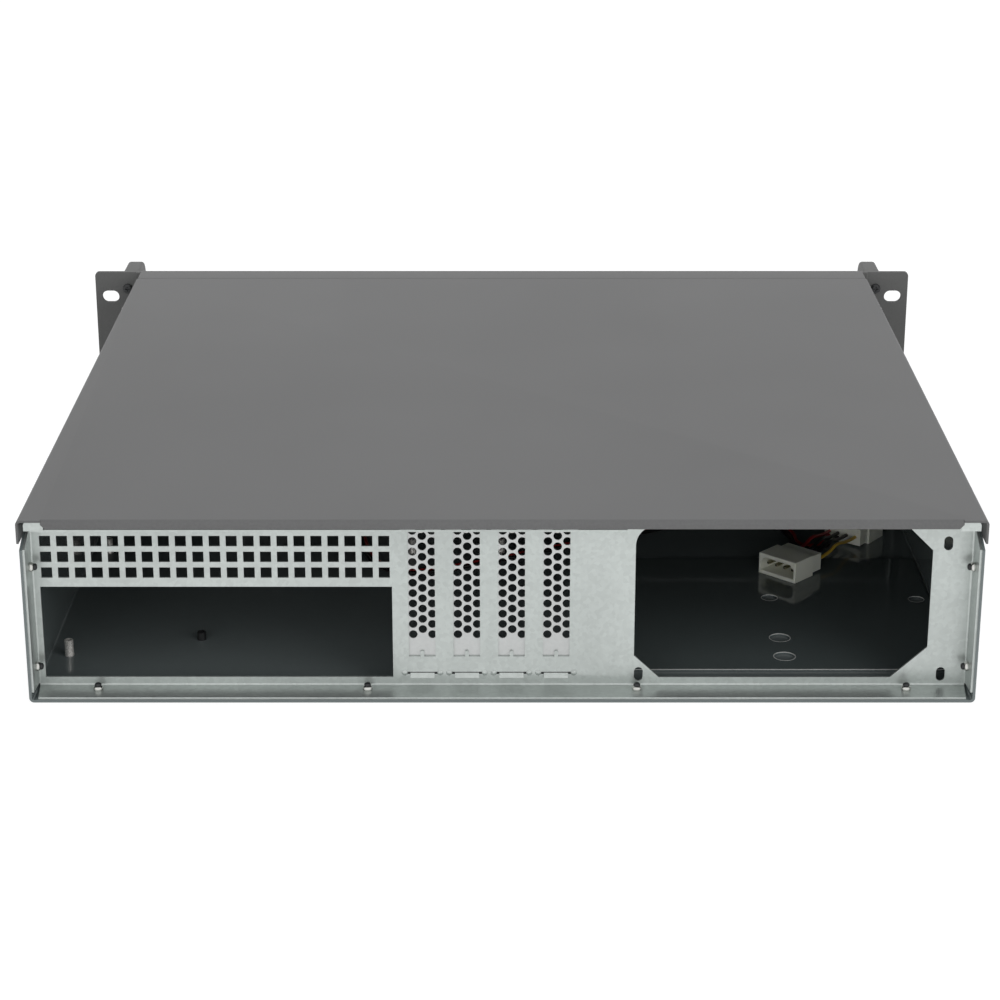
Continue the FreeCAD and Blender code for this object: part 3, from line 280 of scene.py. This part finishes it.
LEAD_BLACK_1 = [
    (-0.17596, 0.03597, 0.0067), (-0.17056, 0.04316, 0.0067), (-0.16465, 0.0529, 0.0102),
    (-0.15875, 0.06263, 0.0077), (-0.15259, 0.06919, 0.0077),
]
LEAD_BLACK_2 = [
    (-0.18002, 0.03902, 0.0067), (-0.17462, 0.04621, 0.0067), (-0.16854, 0.05616, 0.0102),
    (-0.16246, 0.06611, 0.0077), (-0.1563, 0.07267, 0.0077),
]
LEAD_YELLOW = [
    (-0.18408, 0.04207, 0.0067), (-0.17868, 0.04927, 0.0067), (-0.17242, 0.05943, 0.0102),
    (-0.16616, 0.06959, 0.0077), (-0.16, 0.07615, 0.0077),
]

cord("red_fan_wire", FAN_RED, red_pvc, "fan_wire_red")
cord("black_fan_wire", FAN_BLACK, black_pvc, "fan_wire_black")
cord("red_lead", LEAD_RED, red_pvc, "lead_wire_red")
cord("black_lead_1", LEAD_BLACK_1, black_pvc, "lead_wire_black_1")
cord("black_lead_2", LEAD_BLACK_2, black_pvc, "lead_wire_black_2")
cord("yellow_lead", LEAD_YELLOW, yellow_pvc, "lead_wire_yellow")


# ---- CAD nodes: finish, and broken edges on the sheets and mouldings ----

# Width of the broken edges, in millimetres.
EDGE_BREAK = {
    "top_cover": 0.6, "chassis_tray": 0.2, "left_ear": 0.35, "right_ear": 0.35, "left_handle": 1.6,
    "right_handle": 1.6, "front_bezel": 0.25, "drive_cage": 0.2, "drive_shelf": 0.2, "large_bay_cover": 0.4,
    "small_bay_cover": 0.4, "supply_plug_housing": 0.3, "fan_socket_housing": 0.3, "fan_frame_1": 0.4,
    "fan_frame_2": 0.4, "control_circuit_board": 0.1, "push_switches": 0.2,
}
slot_of = {part["node"]: part["material_slot"] for part in frame["record"]["subparts"]}
for name, node in NODES.items():
    node.data.materials.clear()
    node.data.materials.append(OWN_FINISH.get(name, FINISH[slot_of[name]]))
    node.data.polygons.foreach_set("use_smooth", [True] * len(node.data.polygons))
    if "custom_normal" in node.data.attributes:
        node.data.attributes.remove(node.data.attributes["custom_normal"])
    weld = node.modifiers.new("weld", "WELD")
    weld.merge_threshold = WELD
    if name in EDGE_BREAK:
        flat = node.modifiers.new("flat", "DECIMATE")
        flat.decimate_type = "DISSOLVE"
        flat.angle_limit = math.radians(0.5)
        edge = node.modifiers.new("edge", "BEVEL")
        edge.width = EDGE_BREAK[name] * MM
        edge.segments = 3 if EDGE_BREAK[name] > 1 else 2    # the round handles get one more
        edge.limit_method = "ANGLE"
        edge.angle_limit = math.radians(40.0)
        edge.harden_normals = True
    else:
        split = node.modifiers.new("split", "EDGE_SPLIT")
        split.split_angle = math.radians(32.0)


# ---- Helpers for new pieces ----

def piece(name, bm, material, body, slot, *nodes, angle=35.0):
    """Makes the mesh a piece on a body, in place of the CAD nodes given, if any."""
    bmesh.ops.remove_doubles(bm, verts=bm.verts, dist=WELD)
    bmesh.ops.recalc_face_normals(bm, faces=bm.faces)
    mesh = bpy.data.meshes.new(name)
    bm.to_mesh(mesh)
    bm.free()
    mesh.materials.append(material)
    mesh.polygons.foreach_set("use_smooth", [True] * len(mesh.polygons))
    mesh.set_sharp_from_angle(angle=math.radians(angle))
    obj = bpy.data.objects.new(name, mesh)
    bpy.context.scene.collection.objects.link(obj)
    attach(obj, body)
    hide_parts(*nodes)


def joined_to(verts):
    """The vertices given, and all that edges join to them."""
    group, rim = set(), set(verts)
    while rim:
        group |= rim
        rim = {other for vertex in rim for edge in vertex.link_edges for other in edge.verts} - group
    return group


def turned(bm, profile, seat, outward, steps=28):
    """Spins (radius, height) pairs, in millimetres, about the line from seat along outward."""
    verts = [bm.verts.new((radius * MM, 0, height * MM)) for radius, height in profile]
    edges = [bm.edges.new(pair) for pair in zip(verts, verts[1:])]
    bmesh.ops.spin(bm, geom=verts + edges, axis=(0, 0, 1), cent=(0, 0, 0), steps=steps,
                   angle=math.tau, use_merge=True)
    form = list(joined_to(verts))
    settle(bm, form, seat, outward)
    return form


def settle(bm, verts, seat, outward):
    """Moves verts from the origin, where they stand along +Z, to seat, along outward."""
    turn = Vector((0, 0, 1)).rotation_difference(Vector(outward)).to_matrix().to_4x4()
    bmesh.ops.transform(bm, matrix=Matrix.Translation(seat) @ turn, verts=verts)


def cross_head(bm, radius, height, seat, outward):
    """Pan head with a cross recess, radius and height in millimetres."""
    profile = [(0, 0), (radius, 0), (radius, height * 0.45), (radius * 0.95, height * 0.72),
               (radius * 0.83, height * 0.92), (radius * 0.66, height)]
    verts = turned(bm, profile, (0, 0, 0), (0, 0, 1), 32)
    top = height * MM
    arm, bar = radius * 0.5 * MM, radius * 0.11 * MM
    grid = bmesh.ops.create_grid(bm, x_segments=3, y_segments=3, size=arm)["verts"]
    for vertex in grid:
        for axis in (0, 1):
            if abs(vertex.co[axis]) < arm * 0.9:
                vertex.co[axis] = math.copysign(bar, vertex.co[axis])
        vertex.co.z = top
    rim = {v for v in verts if abs(v.co.z - top) < SAME_PLACE}
    edges = {e for v in rim for e in v.link_edges if rim.issuperset(e.verts)}
    edges |= {e for v in grid for e in v.link_edges if e.is_boundary}
    faces = {f for v in grid for f in v.link_faces}
    bmesh.ops.triangle_fill(bm, edges=list(edges), use_beauty=True, normal=(0, 0, 1))
    centres = {f: f.calc_center_median() for f in faces}
    cross = [f for f in faces if min(abs(centres[f].x), abs(centres[f].y)) < bar * 0.5]
    sunk = bmesh.ops.extrude_face_region(bm, geom=cross)["geom"]
    bmesh.ops.delete(bm, geom=cross, context="FACES_ONLY")
    recess = [v for v in sunk if isinstance(v, bmesh.types.BMVert)]
    bmesh.ops.scale(bm, vec=(0.75, 0.75, 1.0), verts=recess)
    bmesh.ops.translate(bm, vec=(0, 0, -height * 0.55 * MM), verts=recess)
    settle(bm, list(set(verts) | set(grid) | set(recess)), seat, outward)


def solids_of(name):
    """Lowest and highest corner of each separate solid of a CAD node."""
    bm = bmesh.new()
    bm.from_mesh(NODES[name].data)
    bmesh.ops.remove_doubles(bm, verts=bm.verts, dist=WELD)
    left, boxes = set(bm.verts), []
    while left:
        group = joined_to([left.pop()])
        left -= group
        low = Vector([min(v.co[i] for v in group) for i in range(3)])
        high = Vector([max(v.co[i] for v in group) for i in range(3)])
        boxes.append((low, high))
    bm.free()
    return boxes


def plate(bm, outline, holes, start, end, steps=28):
    """Sheet with round holes (x, y, radius) between two heights, flat in X and Y."""
    verts = [bm.verts.new((x, y, start)) for x, y in outline]
    edges = [bm.edges.new((a, b)) for a, b in zip(verts, verts[1:] + verts[:1])]
    for x, y, radius in holes:
        made = bmesh.ops.create_circle(bm, segments=steps, radius=radius)["verts"]
        bmesh.ops.translate(bm, vec=(x, y, start), verts=made)
        edges += list({edge for vertex in made for edge in vertex.link_edges})
    faces = [f for f in bmesh.ops.triangle_fill(bm, edges=edges, use_beauty=True, normal=(0, 0, 1))["geom"]
             if isinstance(f, bmesh.types.BMFace)]
    raised = bmesh.ops.extrude_face_region(bm, geom=faces, use_keep_orig=True)["geom"]
    upper = [v for v in raised if isinstance(v, bmesh.types.BMVert)]
    bmesh.ops.translate(bm, vec=(0, 0, end - start), verts=upper)


def box(bm, low, high):
    """Square-cornered block between two corners."""
    made = bmesh.ops.create_cube(bm, size=1.0)["verts"]
    low, high = Vector(low), Vector(high)
    bmesh.ops.scale(bm, vec=high - low, verts=made)
    bmesh.ops.translate(bm, vec=(low + high) / 2, verts=made)


def stand_up(bm, x, y):
    """Stands a flat sheet upright, its Y up, at x and y, with its thickness towards +Y."""
    stand = Matrix.Translation((x, y, 0)) @ Matrix.Rotation(math.pi / 2, 4, "X")
    bmesh.ops.transform(bm, matrix=stand @ Matrix.Scale(-1, 4, (0, 0, 1)), verts=bm.verts)


# ---- Slot covers ----

COVER_SHEET = 0.9 * MM
COVER_SHOULDER = 14.0 * MM
TAIL_HALF = 5.1 * MM
HOLE_PITCH = 5.04 * MM
HOLE_RADIUS = 1.95 * MM
HOLE_ROWS = 11
FIRST_HOLE = 27.0 * MM
HOLES_OFF_MIDDLE = 0.33 * MM
NOTCH_HALF = 2.2 * MM
NOTCH_DEPTH = 7.6 * MM


def slot_cover(name):
    """Cover with round perforations in three staggered columns, tail below, notched tab above."""
    low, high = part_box(name)
    middle = (low.x + high.x) / 2
    half = (high.x - low.x) / 2
    tail_start = COVER_SHOULDER - half + TAIL_HALF
    outline = [(-half, high.z), (-half, COVER_SHOULDER), (-TAIL_HALF, tail_start), (-TAIL_HALF, low.z),
               (TAIL_HALF, low.z), (TAIL_HALF, tail_start), (half, COVER_SHOULDER), (half, high.z)]
    holes = []
    for column in (-1, 0, 1):
        raised = 1 if column == 0 else 0
        x = column * HOLE_PITCH * math.cos(math.pi / 6) - HOLES_OFF_MIDDLE
        for row in range(HOLE_ROWS - raised):
            holes.append((x, FIRST_HOLE + (row + raised / 2) * HOLE_PITCH, HOLE_RADIUS))
    bm = bmesh.new()
    plate(bm, outline, holes, 0, COVER_SHEET)
    stand_up(bm, middle, low.y)
    face, notch_end = low.y + COVER_SHEET, high.y - NOTCH_DEPTH
    tab = [(middle - half, face), (middle + half, face), (middle + half, high.y),
           (middle + NOTCH_HALF, high.y), (middle + NOTCH_HALF, notch_end),
           (middle - NOTCH_HALF, notch_end), (middle - NOTCH_HALF, high.y), (middle - half, high.y)]
    plate(bm, tab, [], high.z - COVER_SHEET, high.z)
    piece(name + "_perforated", bm, cover_sheet, "chassis", "cover_steel", name)


for number in range(1, 5):
    slot_cover("slot_cover_" + str(number))


# ---- Fasteners and floor fittings: (radius, height) profiles in millimetres ----

BULB = [(2.0, 0), (2.25, 0.5), (2.25, 1.1), (2.0, 1.7), (1.65, 2.05), (0, 2.05)]
# The dark dome on each rivet is painted shade for the rivet's hollow centre.
HOLLOW_SHADE_DOME = [(0, 1.6), (1.45, 1.95), (1.6, 2.5), (1.5, 3.0), (1.15, 3.4), (0.6, 3.6), (0, 3.65)]
bulbs, hollow_shades = bmesh.new(), bmesh.new()
for low, high in solids_of("rivets"):
    middle = (low + high) / 2
    if high.z - low.z < high.x - low.x:
        seat, outward = (middle.x, middle.y, low.z), (0, 0, 1)
    elif middle.x > 0:
        seat, outward = (high.x, middle.y, middle.z), (-1, 0, 0)
    else:
        seat, outward = (low.x, middle.y, middle.z), (1, 0, 0)
    turned(bulbs, BULB, seat, outward)
    turned(hollow_shades, HOLLOW_SHADE_DOME, seat, outward)
piece("rivet_bulbs", bulbs, bright_zinc, "chassis", "zinc_fastener", "rivets", angle=50.0)
piece("rivet_painted_hollow_shades", hollow_shades, black_oxide_and_shade, "chassis", "zinc_fastener", angle=50.0)

STANDOFF = [(0, 2.0), (1.25, 2.0), (1.25, 7.8), (1.45, 8.0), (1.85, 8.0), (2.1, 7.75), (2.1, 1.1),
            (2.2, 0.9), (2.2, 0), (0, 0)]
bm = bmesh.new()
for low, high in solids_of("board_standoffs"):
    middle = (low + high) / 2
    turned(bm, STANDOFF, (middle.x, middle.y, low.z), (0, 0, 1))
piece("round_standoffs", bm, satin_nickel, "chassis", "zinc_fastener", "board_standoffs")

low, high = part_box("spare_stud")
rise = (high.z - low.z) / MM
stud = [(0, rise - 2.5), (1.25, rise - 2.5), (1.25, rise - 0.2), (1.45, rise), (1.9, rise),
        (2.15, rise - 0.3), (2.15, 0), (0, 0)]
bm = bmesh.new()
turned(bm, stud, ((low.x + high.x) / 2, (low.y + high.y) / 2, low.z), (0, 0, 1))
piece("tapped_spare_stud", bm, black_oxide_and_shade, "chassis", slot_of["spare_stud"], "spare_stud")


def cross_screws(name, node, radius, height, outward_of, shank=0.0, finish=bright_zinc):
    """Cross-recess screws in place of a node's, radius, height and shank in millimetres; outward_of
    gives each one's direction from its middle."""
    bm = bmesh.new()
    for low, high in solids_of(node):
        middle = (low + high) / 2
        outward = Vector(outward_of(middle))
        length = abs(outward.dot(high - low))
        seat = middle + outward * (length / 2 - height * MM)
        cross_head(bm, radius, height, seat, outward)
        if shank > 0:
            body = [(0, -0.05), (1.5, -0.05), (1.5, 0.35 - shank), (1.2, -shank), (0, -shank)]
            turned(bm, body, seat, outward, 20)
    piece(name, bm, finish, "chassis", "zinc_fastener", node)


def to_its_side(middle):
    return (math.copysign(1, middle.x), 0, 0)


def upwards(middle):
    return (0, 0, 1)


def rearwards(middle):
    return (0, 1, 0)


cross_screws("cover_machine_screws", "cover_screws", 2.9, 1.8, to_its_side, shank=1.8)
cross_screws("slot_cover_machine_screws", "slot_cover_screws", 2.9, 2.0, upwards, shank=4.2)
cross_screws("handle_machine_screws", "handle_screws", 2.9, 1.9, rearwards, finish=black_oxide_and_shade)
cross_screws("ear_machine_screws", "ear_screws", 3.0, 1.8, to_its_side)
cross_screws("fan_self_tapping_screws", "fan_screws", 3.0, 1.6, rearwards)

# Rest plate: x, y and radius of its holes. Bare metal shows round each and along the rear edge.
REST_HOLES = [(-132.6, 185.5, 5.0), (-132.6, 163.5, 4.9), (-132.6, 113.5, 3.9), (-205.0, 115.5, 3.75)]
BARE_RIM = [(-0.02, -0.3), (-0.02, 0.04), (0.30, 0.04), (0.38, -0.05), (0.38, -0.3), (-0.02, -0.3)]
EDGE_Y = (-0.25 * MM, 0.05 * MM)
EDGE_Z = (-0.35 * MM, 0.03 * MM)
low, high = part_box("psu_rest_plate")
bm, rims = bmesh.new(), bmesh.new()
plate(bm, [(low.x, low.y), (high.x, low.y), (high.x, high.y), (low.x, high.y)],
      [(x * MM, y * MM, radius * MM) for x, y, radius in REST_HOLES], low.z, high.z, 40)
for x, y, radius in REST_HOLES:
    rim = [(radius + out, rise) for out, rise in BARE_RIM]
    turned(rims, rim, (x * MM, y * MM, high.z), (0, 0, 1), 40)
box(rims, (low.x, high.y + EDGE_Y[0], high.z + EDGE_Z[0]), (high.x, high.y + EDGE_Y[1], high.z + EDGE_Z[1]))
piece("rest_plate_round_holes", bm, plate_coat, "chassis", slot_of["psu_rest_plate"], "psu_rest_plate")
piece("rest_plate_bare_edges", rims, cut_edge, "chassis", "galvanised_steel")

# Upright lips on the rear panel's ledge close the gap under the lid at both ends of its rear flange.
LIP_START, LIP_END = 203.0, 211.8
LIP_FOOT, LIP_TOP = 82.55, 86.7
LIP_BACK = 230.3
LIP_SHEET = 0.9
corners = bmesh.new()
for side in (-1, 1):
    lip = [(LIP_START, LIP_FOOT), (LIP_END, LIP_FOOT), (LIP_END, LIP_TOP - 1.4),
           (LIP_END - 0.4, LIP_TOP - 0.4), (LIP_END - 1.4, LIP_TOP), (LIP_START, LIP_TOP)]
    plate(corners, [(side * x * MM, z * MM) for x, z in lip], [], 0, LIP_SHEET * MM)
stand_up(corners, 0, LIP_BACK * MM)
piece("rear_panel_corners", corners, zinc_sheet, "chassis", "galvanised_steel")

# Each bridge that takes a slot cover's tail bulges at its ends. Thin dark strips on it are painted shade,
# standing for the gap along its top and at its two ends.
BRIDGE_BULGE = [(0, 0.6), (0.5, 0.55), (1.0, 0.35), (1.35, 0.08), (1.45, -0.1), (0, -0.1)]
BULGE_OFFSET, BULGE_Y, BULGE_Z = 8.1 * MM, 218.0 * MM, 8.3 * MM
STRIP_BACK = 217.6 * MM
TOP_HALF, TOP_FRONT, TOP_Z = 5.6 * MM, 218.12 * MM, (8.35 * MM, 8.75 * MM)
END_OFFSET, END_HALF, END_FRONT, END_Z = 6.2 * MM, 0.7 * MM, 218.08 * MM, (7.7 * MM, 8.8 * MM)
bulges, gap_shades = bmesh.new(), bmesh.new()
for number in range(1, 5):
    low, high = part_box("slot_cover_" + str(number))
    middle = (low.x + high.x) / 2
    for side in (-1, 1):
        turned(bulges, BRIDGE_BULGE, (middle + side * BULGE_OFFSET, BULGE_Y, BULGE_Z), (0, 1, 0), 20)
        end = middle + side * END_OFFSET
        box(gap_shades, (end - END_HALF, STRIP_BACK, END_Z[0]), (end + END_HALF, END_FRONT, END_Z[1]))
    box(gap_shades, (middle - TOP_HALF, STRIP_BACK, TOP_Z[0]), (middle + TOP_HALF, TOP_FRONT, TOP_Z[1]))
piece("bridge_bulges", bulges, zinc_sheet, "chassis", "galvanised_steel", angle=60.0)
piece("bridge_painted_gap_shades", gap_shades, black_oxide_and_shade, "chassis", "galvanised_steel")


# ---- Supply plug contacts, fans, front controls ----

# The contacts lie along the way that the plug's mouth faces.
PLUG_TURN = math.radians(136.8)
MATING = Vector((math.sin(PLUG_TURN), -math.cos(PLUG_TURN), 0))
CONTACT = [(0, -4.75), (1.05, -4.75), (1.05, 3.75), (0.95, 4.3), (0.6, 4.75), (0, 4.75)]
bm = bmesh.new()
for low, high in solids_of("supply_plug_pins"):
    turned(bm, CONTACT, (low + high) / 2, MATING, 20)
piece("round_contacts", bm, tinned, "chassis", "pin_brass", "supply_plug_pins")


# Fan blades: their values at the root and what changes by the tip, in millimetres and degrees.
BLADES = 7
ROOT_RADIUS, REACH = 13.2, 23.2
ROOT_PITCH, PITCH_LOST = 52, 17
ROOT_CHORD, CHORD_GAINED = 13.0, 6.0
BLADE_BOW = 1.4 * MM
BLADE_SHEET = 0.6 * MM
BLADE_SWEEP = 0.3
SHAFT_RADIUS, SHAFT_LENGTH = 1.5, 5.4
HUB_WEB = 1.2


def blade(bm, axis_x, axis_z, middle_y, turn):
    """Twisted and bowed fan blade, steeper at its root than at its tip."""
    grid = bmesh.ops.create_grid(bm, x_segments=8, y_segments=6, size=1.0)["verts"]
    for vertex in grid:
        out = (vertex.co.y + 1) / 2
        radius = (ROOT_RADIUS + out * REACH) * MM
        pitch = math.radians(ROOT_PITCH - PITCH_LOST * out)
        chord = (ROOT_CHORD + CHORD_GAINED * out) * MM * vertex.co.x / 2
        bow = BLADE_BOW * (1 - vertex.co.x ** 2)
        angle = turn + chord * math.sin(math.pi / 2 - pitch + BLADE_SWEEP) / radius
        depth = middle_y + chord * math.sin(pitch) * 0.9 + bow
        vertex.co = (axis_x + radius * math.sin(angle), depth, axis_z + radius * math.cos(angle))
    faces = list({face for vertex in grid for face in vertex.link_faces})
    bmesh.ops.solidify(bm, geom=faces, thickness=BLADE_SHEET)


def fan_rotor(number, body):
    """Domed hub cap with a moulded rim, a shaft, and the twisted blades."""
    node = "fan_rotor_" + str(number)
    low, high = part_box(node)
    axis_x, axis_z = (low.x + high.x) / 2, (low.z + high.z) / 2
    depth = (high.y - low.y) / MM
    hub_end = depth - SHAFT_LENGTH
    bm = bmesh.new()
    hub = [(0, 0), (10.5, 0), (12.6, 0.5), (13.7, 1.8), (14.0, 3.2), (14.0, hub_end), (12.8, hub_end),
           (12.8, hub_end - HUB_WEB), (SHAFT_RADIUS, hub_end - HUB_WEB), (SHAFT_RADIUS, depth), (0, depth)]
    turned(bm, hub, (axis_x, low.y, axis_z), (0, 1, 0), 40)
    for i in range(BLADES):
        blade(bm, axis_x, axis_z, low.y + hub_end * MM / 2, math.tau * i / BLADES)
    piece("twisted_" + node, bm, fan_pbt, body, "fan_plastic", node, angle=45.0)


fan_rotor(1, "fan_rotor_low")
fan_rotor(2, "fan_rotor_high")


# A cap stands proud of the bezel, and its flange lies a sliding gap behind the bezel's sheet.
CAP_PROUD, BEZEL_SHEET, SLIDE_GAP = 1.5, 1.0, 0.15
CAP_FLANGE, STEM_RADIUS = 1.2, 1.4


def push_cap(node, radius):
    """Crowned cap with a rolled edge, retaining flange and switch stem."""
    low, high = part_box(node)
    depth = (high.y - low.y) / MM
    flange = CAP_PROUD + BEZEL_SHEET + SLIDE_GAP
    flange_end = flange + CAP_FLANGE
    bm = bmesh.new()
    cap = [(0, 0), (radius * 0.5, 0.04), (radius * 0.8, 0.16), (radius * 0.95, 0.42), (radius, 0.8),
           (radius, flange), (radius + CAP_FLANGE, flange), (radius + CAP_FLANGE, flange_end),
           (STEM_RADIUS, flange_end), (STEM_RADIUS, depth), (0, depth)]
    turned(bm, cap, ((low.x + high.x) / 2, low.y, (low.z + high.z) / 2), (0, 1, 0), 40)
    piece("crowned_" + node, bm, dark_abs, node, "button_plastic", node)


push_cap("power_button", 6.0)
push_cap("reset_button", 2.5)

bm = bmesh.new()
for low, high in solids_of("indicator_leds"):
    depth = (high.y - low.y) / MM
    dome = [(0, 0), (0.6, 0.1), (1.1, 0.4), (1.4, 0.85), (1.5, 1.4), (1.5, depth), (0, depth)]
    turned(bm, dome, ((low.x + high.x) / 2, low.y, (low.z + high.z) / 2), (0, 1, 0), 24)
piece("domed_indicators", bm, milky, "chassis", "led_plastic", "indicator_leds")


# ---- Floor, white surroundings and soft light ----

WORLD_LEVEL = 0.46
FLOOR_HALF = 6.0


def seen_directly(tree):
    """1 for camera, mirror and clear rays, which see white; 0 for those that carry soft light."""
    rays = add(tree, "LightPath")
    mirror = add(tree, "Math", {0: rays.outputs["Is Glossy Ray"], 1: rays.outputs["Is Transmission Ray"]},
                 operation="MAXIMUM")
    seen = add(tree, "Math", {0: rays.outputs["Is Camera Ray"], 1: mirror.outputs[0]}, operation="MAXIMUM")
    return seen.outputs[0]


def white_world():
    world = bpy.data.worlds.new("studio")
    bpy.context.scene.world = world
    world.use_nodes = True
    tree = world.node_tree
    tree.nodes.clear()
    lit = add(tree, "Background", {"Color": (0.96, 0.98, 1.0, 1.0), "Strength": WORLD_LEVEL})
    white = add(tree, "Background", {"Color": (1.0, 1.0, 1.0, 1.0), "Strength": 1.0})
    choice = add(tree, "MixShader", {0: seen_directly(tree), 1: lit.outputs[0], 2: white.outputs[0]})
    add(tree, "OutputWorld", {"Surface": choice.outputs[0]})


def white_floor():
    """Matt white sweep paper that keeps the shadow of what stands on it."""
    bm = bmesh.new()
    bmesh.ops.create_grid(bm, x_segments=1, y_segments=1, size=FLOOR_HALF)
    mesh = bpy.data.meshes.new("floor")
    bm.to_mesh(mesh)
    bm.free()
    floor = bpy.data.objects.new("floor", mesh)
    bpy.context.scene.collection.objects.link(floor)
    material = bpy.data.materials.new("white_sweep_paper")
    material.use_nodes = True
    tree = material.node_tree
    tree.nodes.clear()
    paper = add(tree, "BsdfDiffuse", {"Color": (0.80, 0.80, 0.80, 1.0)})
    shadowed = add(tree, "BsdfDiffuse", {"Color": (0.28, 0.28, 0.28, 1.0)})
    glow = add(tree, "Emission", {"Color": (1.0, 1.0, 1.0, 1.0), "Strength": 0.86})
    bright = add(tree, "AddShader", {0: glow.outputs[0], 1: shadowed.outputs[0]})
    choice = add(tree, "MixShader", {0: seen_directly(tree), 1: paper.outputs[0], 2: bright.outputs[0]})
    add(tree, "OutputMaterial", {"Surface": choice.outputs[0]})
    mesh.materials.append(material)


def softbox(name, place, target, width, height, watts):
    """Soft lamp aimed at target. Mirror rays pass it by, so it draws no bright shape on metal."""
    light = bpy.data.lights.new(name, "AREA")
    light.shape = "RECTANGLE"
    light.size = width
    light.size_y = height
    light.energy = watts
    obj = bpy.data.objects.new(name, light)
    obj.location = place
    obj.rotation_euler = (Vector(target) - Vector(place)).to_track_quat("-Z", "Y").to_euler()
    obj.visible_glossy = False
    bpy.context.scene.collection.objects.link(obj)


white_world()
white_floor()
softbox("key", (-1.3, 1.4, 0.9), (0, 0.1, 0.03), 1.2, 1.0, 10.0)
softbox("fill", (1.1, 1.5, 0.8), (0, 0.1, 0.03), 1.2, 0.9, 4.0)
softbox("low_rear", (0.0, 2.0, 0.35), (0, 0.1, 0.03), 1.6, 0.5, 7.0)
softbox("overhead", (0.0, -0.2, 1.9), (0, 0, 0), 1.8, 1.4, 7.0)
softbox("front_side", (0.3, -1.8, 0.9), (0, -0.2, 0.04), 1.4, 0.9, 6.0)
